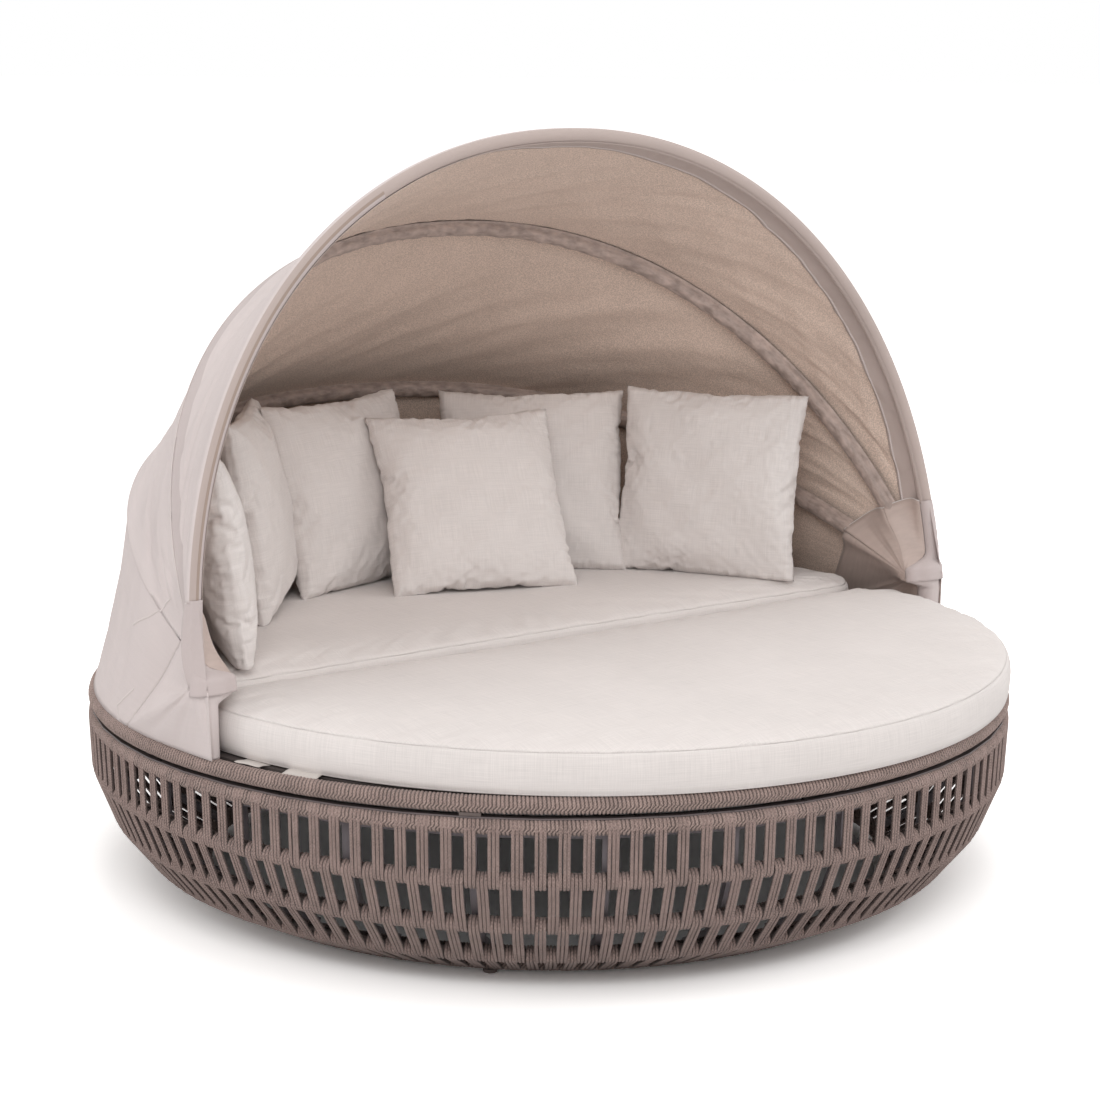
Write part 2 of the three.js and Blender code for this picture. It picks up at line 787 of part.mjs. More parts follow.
// Patch over the left pivot: a fan from the hub to the lower edges of the other cloths and the hem
function patchGeometry() {
  const [outer, inner] = [clothLift + clothThickness, clothLift].map((lift) => {
    const hub = new THREE.Vector3(-(hoops.front.halfWidth + patchBulge + lift - clothLift), 0, 0);
    const rim = [
      ...frontPanelColumn(firstStep, lift).slice(1, -1),
      ...rearPanelColumn(firstStep, lift).slice(0, -1),
      ...skirtColumn(firstStep, lift),
      hemPoint(hemEndShare / 2, lift - clothLift),
      hemPoint(0, lift - clothLift),
    ];
    return rim.map((point) => {
      const middle = point.clone().lerp(hub, 0.5);
      middle.x -= patchCrown;
      return [point.clone().lerp(hub, patchGapShare), middle, hub];
    });
  });
  return clothGeometry(outer, inner);
}

// Builds each body as a group
const daybed = new THREE.Group();
const base = new THREE.Group();
const seat = new THREE.Group();
const canopy = new THREE.Group();
canopy.position.set(0, pivotY, pivotZ);
daybed.add(base, seat);
seat.add(canopy);

function buildBase() {
  piece('rib_cage', ribCageGeometry(), frameFinish, base);
  piece('base_cross', baseCrossGeometry(), frameFinish, base);
  bowlRings.forEach((ring, index) => {
    const mesh = piece(`base_ring_${index + 1}`, woundRing(ring.radius), ropeFinish, base);
    mesh.position.z = ring.z;
  });
  for (let tier = 0; tier + 1 < bowlRings.length; tier += 1) {
    const phase = tier % 2 === 0 ? 0 : 0.5;
    const geometry = weaveTierGeometry(bowlRings[tier], bowlRings[tier + 1], stripCounts[tier], phase);
    piece(`rope_tier_${tier + 1}`, geometry, ropeFinish, base);
  }
  const floorRing = bowlRings[bowlRings.length - 1];
  for (let index = 0; index < glideCount; index += 1) {
    const geometry = pin([[glideRadius, 0], [glideRadius, glideHeight]], roundSides);
    const angle = ((index + 0.5) / glideCount) * 2 * Math.PI;
    const glide = piece(`floor_glide_${index + 1}`, geometry, nylonFinish, base);
    glide.position.set(floorRing.radius * Math.cos(angle), floorRing.radius * Math.sin(angle), 0);
  }
}

const lowerRaceTop = baseHubTop + fit + raceThickness;
const cageTop = lowerRaceTop + fit + cageThickness;
const upperRaceTop = cageTop + fit + raceThickness;
const seatHubBottom = upperRaceTop + fit;
const seatBeamBottom = seatTop - deckThickness - fit - seatBeamHeight;
const seatHubTop = seatBeamBottom + seatBeamHeight / 2;

function buildSwivel() {
  const raceSegments = ringSegments / 2;
  const race = (bottom, top) => flatRing(raceInnerRadius, raceOuterRadius, bottom, top, raceSegments);
  piece('swivel_race_lower', race(lowerRaceTop - raceThickness, lowerRaceTop), steelFinish, base);
  piece('swivel_ball_cage', race(cageTop - cageThickness, cageTop), nylonFinish, base);
  piece('swivel_race_upper', race(upperRaceTop - raceThickness, upperRaceTop), steelFinish, seat);
  const nutTop = crossBottom - fit;
  const headBottom = seatHubTop + fit;
  const boltSection = [
    [swivelBoltRadius, nutTop - swivelNutHeight - swivelThreadTail],
    [swivelBoltRadius, headBottom],
    [swivelHeadRadius, headBottom],
    [swivelHeadRadius, headBottom + swivelHeadHeight],
  ];
  piece('swivel_bolt', pin(boltSection, roundSides), steelFinish, base);
  const nutHole = holeRadius(swivelBoltRadius, fit);
  const nut = cut(
    pin([[swivelNutRadius, nutTop - swivelNutHeight], [swivelNutRadius, nutTop]], tubeSides),
    pin([[nutHole, nutTop - swivelNutHeight - overrun], [nutHole, nutTop + overrun]], roundSides),
  );
  piece('swivel_nut', nut, steelFinish, base);
}

function buildTrack() {
  const bottom = rimZ + tubeFlat + fit;
  const inner = bowlRadius - trackWidth / 2;
  const outer = bowlRadius + trackWidth / 2;
  const track = flatRing(inner, outer, bottom, bottom + trackThickness, ringSegments);
  piece('swivel_track', track, darkFinish, base);
  const runnerBottom = bottom + trackThickness + fit;
  const runnerTop = seatRingZ - tubeFlat - fit;
  for (let index = 0; index < runnerCount; index += 1) {
    const geometry = box(runnerWidth, runnerLength, runnerTop - runnerBottom, 0, 0, 0);
    const runner = piece(`swivel_runner_${index + 1}`, geometry, nylonFinish, seat);
    const angle = ((index + 0.5) / runnerCount) * 2 * Math.PI;
    const x = bowlRadius * Math.cos(angle);
    const y = bowlRadius * Math.sin(angle);
    runner.position.set(x, y, (runnerBottom + runnerTop) / 2);
    runner.rotation.z = angle;
  }
}

function buildSeatFrame() {
  const ring = piece('seat_ring', woundRing(bowlRadius), ropeFinish, seat);
  ring.position.z = seatRingZ;
  const beamEnd = bowlRadius - tubeRadius - fit - (seatBeamWidth / 2) * Math.tan(Math.PI / ringSegments);
  const beamTop = seatBeamBottom + seatBeamHeight;
  const hub = pin([[hubRadius, seatHubBottom], [hubRadius, seatHubTop]], ringSegments / 2);
  const beams = [];
  for (let index = 0; index < seatBeamCount; index += 1) {
    const angle = ((index + 0.5) / seatBeamCount) * 2 * Math.PI;
    beams.push(radialBar(hubRadius / 2, beamEnd, seatBeamWidth, seatBeamBottom, beamTop, angle));
  }
  const bore = pin([[boltHole, seatHubBottom - overrun], [boltHole, beamTop + overrun]], roundSides);
  piece('seat_frame', cut(joined(hub, ...beams), bore), frameFinish, seat);
}

// Deck board: one side of the split, inside the seat ring
function deckGeometry(side) {
  const radius = bowlRadius - deckInset;
  const split = side < 0 ? deckSplitY - fit / 2 : deckSplitY + fit / 2;
  const reach = Math.asin(split / radius);
  const shape = new THREE.Shape();
  if (side > 0) {
    shape.absarc(0, 0, radius, reach, Math.PI - reach, false);
  } else {
    shape.absarc(0, 0, radius, Math.PI - reach, 2 * Math.PI + reach, false);
  }
  return new THREE.ExtrudeGeometry(shape, {
    depth: deckThickness,
    bevelEnabled: false,
    curveSegments: ringSegments / 2,
  });
}

function buildDeck() {
  for (const [name, side] of [['deck_front', -1], ['deck_rear', 1]]) {
    const board = piece(name, deckGeometry(side), deckFinish, seat);
    board.position.z = seatTop - deckThickness;
  }
}

function buildCushions() {
  const bottom = seatTop + fit;
  const front = piece('front_cushion', cushionGeometry(frontCushion, -1), linenFinish, seat);
  front.position.set(0, deckSplitY - cushionGap / 2, bottom);
  const rear = piece('rear_cushion', cushionGeometry(rearCushion, 1), linenFinish, seat);
  rear.position.set(0, deckSplitY + cushionGap / 2, bottom);
  return rear;
}

// Stands each pillow on the rear cushion, pressed in a little and cut to its crown
function buildPillows(rear) {
  const top = rear.position.z + rearCushion.sideHeight + rearCushion.crown;
  rear.updateMatrix();
  const pressed = rear.geometry.clone().applyMatrix4(rear.matrix);
  pressed.translate(0, 0, fit);
  pillowPlaceShares.forEach((place, index) => {
    const mesh = piece(`pillow_${index + 1}`, pillowGeometry(), linenFinish, seat);
    mesh.position.set(place.right * rearCushion.radius, place.back * rearCushion.radius, top - pillowSink);
    mesh.rotation.set(-place.lean * radians, 0, place.turn * radians, 'ZYX');
    mesh.updateMatrix();
    const standing = mesh.geometry.clone().applyMatrix4(mesh.matrix);
    mesh.geometry = cut(standing, pressed).applyMatrix4(mesh.matrix.clone().invert());
  });
}

// Bracket, bolt, nut and spacers of the right pivot; the left is its mirror about X = 0
function bracketGeometry(side) {
  const eye = eyeGeometry(0, bracketThickness, bracketEyeRadius, bracketWidth / 2, overrun);
  const plate = box(
    bracketThickness,
    bracketWidth,
    pivotLift - tubeFlat - fit,
    0,
    0,
    -(pivotLift - tubeFlat - fit) / 2,
  );
  const foot = box(
    bracketFootWidth,
    bracketWidth,
    bracketFootHeight,
    0,
    0,
    -(pivotLift - tubeFlat - fit) + bracketFootHeight / 2,
  );
  const radius = holeRadius(pivotBoltRadius, fit);
  const hole = crossPin([[radius, -bracketThickness], [radius, bracketThickness]]);
  const geometry = cut(joined(plate, eye, foot), hole);
  geometry.translate(side * bracketX, 0, 0);
  return geometry;
}

function spacerGeometry(from, to) {
  const radius = holeRadius(pivotBoltRadius, fit);
  return cut(
    crossPin([[spacerRadius, from + fit], [spacerRadius, to - fit]]),
    crossPin([[radius, from - overrun], [radius, to + overrun]]),
  );
}

function buildPivot(sideName, side) {
  const half = lugThickness / 2;
  const turn = side < 0 ? Math.PI : 0;
  const put = (name, geometry, finish) => {
    piece(`${name}_${sideName}`, geometry.rotateZ(turn), finish, canopy);
  };
  const { rear, middle, front } = hoops;
  piece(`pivot_bracket_${sideName}`, bracketGeometry(side), frameFinish, canopy);
  put('pivot_spacer_inner', spacerGeometry(rear.halfWidth + half, middle.halfWidth - half), nylonFinish);
  const plateHalf = bracketThickness / 2;
  put('pivot_spacer_middle', spacerGeometry(middle.halfWidth + half, bracketX - plateHalf), nylonFinish);
  put('pivot_spacer_outer', spacerGeometry(bracketX + plateHalf, front.halfWidth - half), nylonFinish);
  const headEnd = rear.halfWidth - half - fit;
  const nutStart = front.halfWidth + half + fit;
  const bolt = crossPin([
    [capRadius, headEnd - capHeight],
    [capRadius, headEnd],
    [pivotBoltRadius, headEnd],
    [pivotBoltRadius, nutStart + capHeight - fit],
  ]);
  put('pivot_bolt', bolt, steelFinish);
  const bore = holeRadius(pivotBoltRadius, fit);
  const nut = cut(
    crossPin([[capRadius, nutStart], [capRadius, nutStart + capHeight]]),
    crossPin([[bore, nutStart - overrun], [bore, nutStart + capHeight + overrun]]),
  );
  put('pivot_nut', nut, steelFinish);
}

function buildCanopy() {
  for (const [name, hoop] of Object.entries(hoops)) {
    const mesh = piece(`${name}_hoop`, hoopGeometry(hoop), steelFinish, canopy);
    mesh.rotation.x = -hoop.lean * radians;
  }
  piece('front_canopy_panel', sheetGeometry(frontPanelColumn), canopyFinish, canopy);
  piece('rear_canopy_panel', sheetGeometry(rearPanelColumn), canopyFinish, canopy);
  piece('back_skirt', sheetGeometry(skirtColumn), canopyFinish, canopy);
  const patch = patchGeometry();
  piece('pivot_patch_left', patch, patchFinish, canopy);
  piece('pivot_patch_right', mirrored(patch), patchFinish, canopy);
  buildPivot('left', -1);
  buildPivot('right', 1);
}

buildBase();
buildSwivel();
buildTrack();
buildSeatFrame();
buildDeck();
buildPillows(buildCushions());
buildCanopy();

export default daybed;
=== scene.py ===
"""Round outdoor daybed with a folding canopy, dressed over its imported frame.

Metres, +Z up, the open front of the canopy faces -Y.
"""
import json
import math

import bmesh
import bpy
import numpy as np
from mathutils import Matrix, Vector


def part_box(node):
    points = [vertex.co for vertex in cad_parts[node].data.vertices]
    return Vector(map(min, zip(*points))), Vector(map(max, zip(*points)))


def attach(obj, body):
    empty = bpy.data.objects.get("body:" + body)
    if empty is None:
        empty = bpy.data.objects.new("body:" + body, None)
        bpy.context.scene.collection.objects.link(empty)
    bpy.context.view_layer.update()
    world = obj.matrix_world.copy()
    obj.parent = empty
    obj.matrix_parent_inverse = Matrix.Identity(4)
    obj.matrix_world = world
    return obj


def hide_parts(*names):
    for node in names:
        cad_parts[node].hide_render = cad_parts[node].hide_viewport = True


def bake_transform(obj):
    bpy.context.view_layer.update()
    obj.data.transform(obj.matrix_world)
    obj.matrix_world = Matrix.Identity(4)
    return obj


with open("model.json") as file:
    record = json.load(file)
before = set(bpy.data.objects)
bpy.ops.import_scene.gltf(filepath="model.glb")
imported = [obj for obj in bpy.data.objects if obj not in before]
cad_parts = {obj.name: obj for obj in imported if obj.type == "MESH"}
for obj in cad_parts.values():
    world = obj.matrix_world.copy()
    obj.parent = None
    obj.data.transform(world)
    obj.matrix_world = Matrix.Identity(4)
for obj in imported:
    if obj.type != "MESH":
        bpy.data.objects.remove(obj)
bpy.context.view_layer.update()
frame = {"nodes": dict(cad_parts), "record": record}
TURN = 2 * math.pi

# Rope winding and the three-rope bars between the rings
ROPE_WIDTH = 0.0074
WOUND_RADIUS = 0.017
RIDGE_DEPTH = 0.0026
RIDGE_SHARES = np.array([1.0, 0.18, 0.0, 0.18])
WOUND_SIDES = 14
WOUND_SWELL = 0.00022
WOUND_SLIDE_SHARE = 0.09
CORE_RADIUS = 0.0098
CORE_RINGS = 240
CORE_SIDES = 10
BAR_COUNT = 140
BAR_ROPES = (-1, 0, 1)
BAR_WRAP = math.radians(225)
BAR_ARC_STEPS = 8
BAR_RUN_STEPS = 3
BAR_SIDES = 6
BAR_JITTER = 0.0007
ROPE_JITTER = 0.0004
ROPE_SWELL = 0.00025
ROPE_OVERLAP_SHARE = 1.03

# Canopy hoops: half width, reach, roundness and lean back from upright
HOOP_START = 0.03
HOOPS = {
    "front": (0.950, 1.00605, 2.14, 8.4),
    "middle": (0.915, 0.9709, 2.17, 37),
    "rear": (0.888, 1.05697, 2.32, 69.7),
}

# Cushions: way is -1 in front, and a cushion hangs over the seat ring by its overhang on one side
CUSHIONS = {
    "front_cushion": {"radius": 0.905, "corner": 0.110, "side": 0.088, "crown": 0.022, "way": -1,
                      "overhang": 0.022, "seed": 7},
    "rear_cushion": {"radius": 0.868, "corner": 0.090, "side": 0.102, "crown": 0.017, "way": 1,
                     "overhang": 0, "seed": 11},
}
CUSHION_PULL = 0.010
CUSHION_STEPS = 420
CUSHION_MIDDLE_SHARE = 0.45
DECK_SPLIT = -0.050
CUSHION_GAP = 0.004
OVERHANG_WAY = np.array([-0.803, 0.596])
CROWN_REACH = 0.066
SEAM_ROW = 13
TOP_CREASES = ((0.047, 0.9, 0.0011), (0.083, -0.7, 0.0017), (0.147, 0.8, 0.0017))
TOP_SWELLS = ((0.61, 0.4, 0.0014), (0.38, -0.7, 0.0008))
SIDE_BULGES = ((0.21, 0, 0.0009), (0.37, 0, 0.0011))
CREASE_PLACE = 0.055
CREASE_WIDTH = 0.06
SWELL_REACH = 0.1

# Pillows: place of the lower edge as shares of the rear cushion's radius, turn and lean in degrees
PILLOW_CUT = 0.448
PILLOW_SEAM_LOSS = 0.016
PILLOW_CELLS = 40
PILLOW_FINE = 3
PILLOW_PRESSURE = 0.85
PILLOW_FRAMES = 20
PILLOW_DEPTH = 0.064
PILLOW_PLACE_SHARES = (
    (-0.800, 0.176, 69, 8),
    (-0.485, 0.500, 53, 9),
    (-0.157, 0.567, 15, 17),
    (0.044, 0.325, -16.5, 31),
    (0.302, 0.482, -34, 24),
    (0.641, 0.190, -56, 14),
)
BLANK_EDGE = 0.012
BLANK_DOME = 0.028
BLANK_JITTER = 0.0006
PUCKER_WAVES = ((0.026, 0, 1.0), (0.015, 0, 0.6), (0.047, 0, 0.8))
PUCKER_DEPTH = 0.0026
PUCKER_PLACE = 0.007
PUCKER_WIDTH = 0.012
PILLOW_DENTS = ((0.17, 0.7, 0.0016), (0.11, -0.9, 0.0010))
DENT_REACH = 0.05
RIM_WAVES = ((0.035, 0, 0.0011), (0.019, 0, 0.0006), (0.09, 0, 0.0014))
PRESSED_SHARE = 0.94
SEAT_CLEARANCE = 0.001

# Canopy cloth
CLOTH_END_SHARE = 0.0425
CLOTH_LIFT = 0.0132
CLOTH_THICKNESS = 0.0014
CLOTH_TOP = CLOTH_LIFT + CLOTH_THICKNESS
CLOTH_SAG_SHARE = 0.03
CLOTH_COLUMNS = 320
CLOTH_ROWS = 26
PANEL_WIDTH = 0.5
BAND_WIDTH = 0.046
BAND_ROWS = 4
EDGE_ROWS = 6
BINDING_ROW = 3
WIDE_FOLDS = ((0.33, 0.9, 0.0022), (0.19, 1.3, 0.0013))
NARROW_FOLDS = ((0.21, 1.5, -0.0060), (0.13, 1.9, -0.0042), (0.29, -1.2, -0.0036))
SEAM_PUCKERS = ((0.034, 0, 0.0008), (0.021, 0, 0.0005))
SEAM_PUCKER_WIDTH = 0.022
SEAM_PUCKER_START = 0.004
LINING_CREASES = ((0.088, 1.25, 0.0052), (0.061, 0.95, 0.0034), (0.131, 1.6, 0.0056))
SEAM_SIDES = 8
SEAM_RISE = 0.0008
SEAM_LIFT = 0.0002
SEAM_STEPS = 40
RIDGE_SEAM_WIDTH = 0.0048
TRIM_WIDTH = 0.0045


# Meshes
def grid_faces(rows, columns, closed_rows=False, closed_columns=False):
    """Quads between neighbouring points of a grid, and the grid steps of their corners."""
    row, column = np.meshgrid(np.arange(rows if closed_rows else rows - 1),
                              np.arange(columns if closed_columns else columns - 1), indexing="ij")
    row, column = row.ravel(), column.ravel()
    corners = ((0, 0), (0, 1), (1, 1), (1, 0))
    steps = np.stack([np.stack([row + down, column + across], axis=1) for down, across in corners], axis=1)
    return (steps[..., 0] % rows) * columns + steps[..., 1] % columns, steps


def make_piece(name, points, faces, materials, body=None, uvs=None, kinds=None):
    """A mesh object from points and faces. uvs has one pair for each face corner."""
    mesh = bpy.data.meshes.new(name)
    mesh.from_pydata(np.asarray(points, float).reshape(-1, 3).tolist(), [], [list(face) for face in faces])
    for material in materials:
        mesh.materials.append(material)
    if uvs is not None:
        layer = mesh.uv_layers.new(name="UVMap")
        layer.data.foreach_set("uv", np.asarray(uvs, np.float32).ravel())
    if kinds is not None:
        mesh.polygons.foreach_set("material_index", np.asarray(kinds, np.int32))
    mesh.polygons.foreach_set("use_smooth", np.ones(len(mesh.polygons), bool))
    mesh.update()
    piece = bpy.data.objects.new(name, mesh)
    bpy.context.scene.collection.objects.link(piece)
    if body:
        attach(piece, body)
    return piece


def turned_out(piece):
    """Turns the faces of a closed piece outwards."""
    mesh = bmesh.new()
    mesh.from_mesh(piece.data)
    bmesh.ops.recalc_face_normals(mesh, faces=mesh.faces)
    mesh.to_mesh(piece.data)
    mesh.free()
    return piece


def unit(vectors):
    return vectors / np.linalg.norm(vectors, axis=-1)[..., None]


def smooth(share):
    share = np.clip(share, 0, 1)
    return share * share * (3 - 2 * share)


def near(distance, width):
    """Falls from 1 where the distance is 0 to nearly 0 at twice the width."""
    return np.exp(-(distance / width) ** 2)


def along(points):
    """Distance from the first point to each one."""
    gaps = np.linalg.norm(np.diff(points, axis=0), axis=1)
    return np.concatenate([[0], np.cumsum(gaps)])


def resampled(points, count, closed=False):
    """The same line again, with evenly spaced points."""
    line = np.vstack([points, points[:1]]) if closed else np.asarray(points)
    marks = along(line)
    wanted = np.linspace(0, marks[-1], count, endpoint=not closed)
    return np.stack([np.interp(wanted, marks, line[:, axis]) for axis in range(line.shape[1])], axis=1)


def ripples(seed, first, second, waves):
    """Smooth seeded waves over a surface: each has a length, a slant and a height."""
    random = np.random.default_rng(seed)
    total = np.zeros(np.broadcast(first, second).shape)
    for length, slant, height in waves:
        phase, drift, bend = random.uniform(0, TURN, 3)
        place = (first + slant * second) / length
        total = total + height * np.sin(TURN * place + phase + 1.7 * np.sin(place * 1.3 + drift)
                                        + 0.8 * np.sin(second / length * 2.1 + bend))
    return total


def creases(seed, first, second, waves):
    """Narrow soft ridges with flatter cloth between them."""
    random = np.random.default_rng(seed)
    total = np.zeros(np.broadcast(first, second).shape)
    for length, slant, height in waves:
        phase, drift, bend, fade = random.uniform(0, TURN, 4)
        place = (first + slant * second) / length
        turn = (math.pi * place + phase + 1.2 * np.sin(place * 0.9 + drift)
                + 0.5 * np.sin(second / length + bend))
        strength = 0.55 + 0.45 * np.sin(place * 0.37 + second * 2.3 / length + fade)
        total = total + height * strength * (1 - np.abs(np.sin(turn))) ** 2
    return total


# Materials
def srgb(red, green, blue):
    """A screen colour, from 0 to 255, as linear light."""
    values = []
    for value in (red, green, blue):
        share = value / 255
        values.append(share / 12.92 if share <= 0.04045 else ((share + 0.055) / 1.055) ** 2.4)
    return (*values, 1.0)


class Nodes:
    """The node tree of a material or a world."""

    def __init__(self, owner, empty=True):
        owner.use_nodes = True
        self.tree = owner.node_tree
        if empty:
            self.tree.nodes.clear()

    def put(self, node, socket, value):
        """Sets a socket to a value, or links it to another node's socket."""
        if isinstance(value, bpy.types.NodeSocket):
            self.tree.links.new(value, node.inputs[socket])
        else:
            node.inputs[socket].default_value = value

    def node(self, kind, inputs=(), **settings):
        node = self.tree.nodes.new("ShaderNode" + kind)
        for key, value in settings.items():
            setattr(node, key, value)
        for socket, value in dict(inputs).items():
            self.put(node, socket, value)
        return node

    def math(self, operation, first, second=0.0):
        return self.node("Math", {0: first, 1: second}, operation=operation).outputs[0]


class Finish(Nodes):
    """One node material with a Principled shader."""

    def __init__(self, name, color, roughness, metallic=0.0, sheen=0.0):
        self.material = bpy.data.materials.new(name)
        super().__init__(self.material, False)
        self.shader = self.tree.nodes["Principled BSDF"]
        self.color = srgb(*color)
        self.put(self.shader, "Base Color", self.color)
        self.put(self.shader, "Roughness", roughness)
        self.put(self.shader, "Metallic", metallic)
        self.put(self.shader, "Sheen Weight", sheen)
        self.spot = self.node("TexCoord").outputs["Object"]

    def cloth_place(self):
        """Place on the flat cloth, and its two parts."""
        place = self.node("UVMap").outputs[0]
        return place, *self.node("SeparateXYZ", {0: place}).outputs[:2]

    def wave(self, value, pitch):
        return self.math("SINE", self.math("MULTIPLY", value, TURN / pitch))

    def total(self, *terms):
        """Sum of values, each alone or in a pair with its share."""
        result = None
        for term in terms:
            value = self.math("MULTIPLY", *term) if isinstance(term, tuple) else term
            result = value if result is None else self.math("ADD", result, value)
        return result

    def noise(self, vector, scale, detail=2.0, roughness=0.5, turn=0.0):
        """Noise at one scale, or stretched by a scale for each way."""
        if isinstance(scale, tuple):
            inputs = {"Vector": vector, "Scale": scale, "Rotation": (0, 0, turn)}
            vector = self.node("Mapping", inputs).outputs[0]
            scale = 1.0
        inputs = {"Vector": vector, "Scale": scale, "Detail": detail, "Roughness": roughness}
        return self.node("TexNoise", inputs).outputs[0]

    def spread(self, value, low, high, first=0.0, last=1.0):
        return self.node("MapRange", {0: value, 1: low, 2: high, 3: first, 4: last}).outputs[0]

    def tinted(self, value, low, high, dark, light):
        """A colour that runs from dark to light times the base colour as value runs from low to high."""
        mix = self.node("Mix", data_type="RGBA")
        colors = [socket for socket in mix.inputs if socket.type == "RGBA"]
        for socket, share in zip(colors, (dark, light)):
            socket.default_value = (*[part * share for part in self.color[:3]], 1)
        self.put(mix, 0, self.spread(value, low, high))
        self.put(self.shader, "Base Color", [socket for socket in mix.outputs if socket.type == "RGBA"][0])

    def bump(self, height, distance, strength):
        node = self.node("Bump", {"Height": height, "Strength": strength, "Distance": distance})
        self.put(self.shader, "Normal", node.outputs[0])
        return self.material


def rope_finish(name, color):
    """Braided polyester rope: V shaped plaits along the rope, flecked, with painted shade where two ropes
    meet.
    """
    finish = Finish(name, color, 0.82, sheen=0.12)
    _, length, turn = finish.cloth_place()
    length_phase = finish.math("MULTIPLY", length, TURN / 0.0058)
    turn_phase = finish.math("MULTIPLY", turn, TURN * 3)
    left = finish.math("SINE", finish.math("ADD", length_phase, turn_phase))
    right = finish.math("SINE", finish.math("SUBTRACT", length_phase, turn_phase))
    braid = finish.math("MAXIMUM", left, right)
    fleck = finish.noise(finish.spot, 420.0, 1.0)
    tone = finish.noise(finish.spot, 24.0, 3.0)
    # Painted shade: the colour darkens towards each side of the rope, in the groove where it meets the next
    # rope
    painted_groove_shade = finish.spread(finish.math("ABSOLUTE", finish.wave(turn, 1)), 0.70, 0.98, 0.0, 0.62)
    fleck_tone_and_groove_shade = finish.math("SUBTRACT", finish.total((fleck, 1.3), (tone, 0.6), (braid, 0.18)), painted_groove_shade)
    finish.tinted(fleck_tone_and_groove_shade, 0.36, 1.40, 0.36, 1.44)
    return finish.bump(finish.total(braid, (fleck, 1.2)), 0.0007, 0.8)


def woven_height(finish, across, down, pitch):
    """Height of a plain weave whose threads lie one pitch apart."""
    return finish.math("MULTIPLY", finish.wave(across, pitch), finish.wave(down, pitch))


def linen_finish(name, color):
    """Linen weave with thicker threads here and there, both ways of the cloth."""
    finish = Finish(name, color, 0.9, sheen=0.2)
    place, across, down = finish.cloth_place()
    threads = finish.total(finish.noise(place, (620.0, 14.0, 1.0)), finish.noise(place, (14.0, 620.0, 1.0)))
    finish.tinted(finish.total(threads, (finish.noise(finish.spot, 5.0), 0.5)), 0.86, 1.64, 0.90, 1.07)
    weave = woven_height(finish, across, down, 0.0013)
    return finish.bump(finish.total(weave, (threads, 1.6)), 0.00025, 0.6)


def canopy_finish(name, color):
    """Smooth outdoor cloth with a very fine weave and soft pressed creases."""
    finish = Finish(name, color, 0.86, sheen=0.12)
    place, across, down = finish.cloth_place()
    streak = finish.noise(place, (7.0, 60.0, 1.0), 3.0)
    cloud = finish.noise(finish.spot, 4.0, 3.0)
    fleck = finish.noise(finish.spot, 1400.0, 1.0)
    finish.tinted(finish.total((streak, 0.5), cloud, (fleck, 0.4)), 0.62, 1.28, 0.94, 1.045)
    crease = finish.noise(place, (11.0, 30.0, 1.0), 4.0, 0.55)
    weave = woven_height(finish, across, down, 0.0009)
    return finish.bump(finish.total((crease, 12.0), weave), 0.0003, 0.55)


def lining_finish(name, color):
    """Tan lining, mottled all over like a fine perforated mesh."""
    finish = Finish(name, color, 0.84, sheen=0.1)
    cells = finish.node("TexVoronoi", {"Vector": finish.spot, "Scale": 330.0, "Randomness": 0.85})
    speckle = finish.total(cells.outputs[0], (finish.noise(finish.spot, 420.0, 2.0, 0.6), 0.9))
    cloud = finish.noise(finish.spot, 7.0, 3.0)
    finish.tinted(finish.total(speckle, (cloud, 0.35)), 0.66, 1.36, 0.76, 1.24)
    crease = finish.noise(finish.cloth_place()[0], (9.0, 26.0, 1.0), 4.0, 0.55)
    return finish.bump(finish.total((crease, 10.0), speckle), 0.0004, 0.5)


def satin_finish(name, color, dark, light, relief):
    """Dense satiny cloth of the sleeves and the fan covers, with painted highlights and painted shade
    streaked along its crinkles.
    """
    finish = Finish(name, color, 0.52, sheen=0.15)
    place = finish.cloth_place()[0]
    streak = finish.noise(place, (30.0, 78.0, 1.0), 3.0, 0.55, 0.95)
    fine = finish.noise(place, (60.0, 20.0, 1.0))
    cloud = finish.noise(finish.spot, 12.0, 3.0)
    # Painted highlight and painted shade: the crinkle streaks that raise the bump also lighten and darken
    # the colour
    finish.tinted(finish.total((streak, 1.5), (fine, 0.5), (cloud, 0.5)), 0.95, 1.55, dark, light)
    return finish.bump(finish.total((streak, 2.0), fine), relief, 0.8)


def seam_finish(name, color):
    """Turned seam with a row of stitches along each side."""
    finish = Finish(name, color, 0.85, sheen=0.1)
    _, length, side = finish.cloth_place()
    side = finish.math("ABSOLUTE", finish.math("SUBTRACT", side, 0.5))
    row = finish.node("Math", {0: side, 1: 0.34, 2: 0.07}, operation="COMPARE").outputs[0]
    thread = finish.math("MULTIPLY", finish.math("GREATER_THAN", finish.wave(length, 0.0042), -0.3), row)
    finish.tinted(thread, 0.0, 1.0, 0.93, 1.22)
    return finish.bump(finish.total(thread, (side, -1.5)), 0.0005, 0.8)


def painted_finish(name, color, roughness=0.5, metallic=0.35):
    """Powder coat with a fine orange peel, and dust and rubbed places that change its gloss."""
    finish = Finish(name, color, roughness, metallic)
    peel = finish.noise(finish.spot, 700.0)
    dust = finish.noise(finish.spot, 14.0, 4.0, 0.6)
    finish.tinted(finish.total(dust, (peel, 0.3)), 0.45, 0.9, 0.84, 1.14)
    gloss = finish.spread(dust, 0.3, 0.7, roughness - 0.08, roughness + 0.14)
    finish.put(finish.shader, "Roughness", gloss)
    return finish.bump(peel, 0.00015, 0.6)


def steel_finish(name, color):
    """Turned stainless steel with fine marks round each piece."""
    finish = Finish(name, color, 0.3, 1.0)
    marks = finish.noise(finish.spot, (900.0, 60.0, 60.0))
    finish.tinted(marks, 0.3, 0.7, 0.85, 1.08)
    finish.put(finish.shader, "Roughness", finish.spread(marks, 0.3, 0.7, 0.24, 0.4))
    return finish.bump(marks, 0.00008, 0.5)


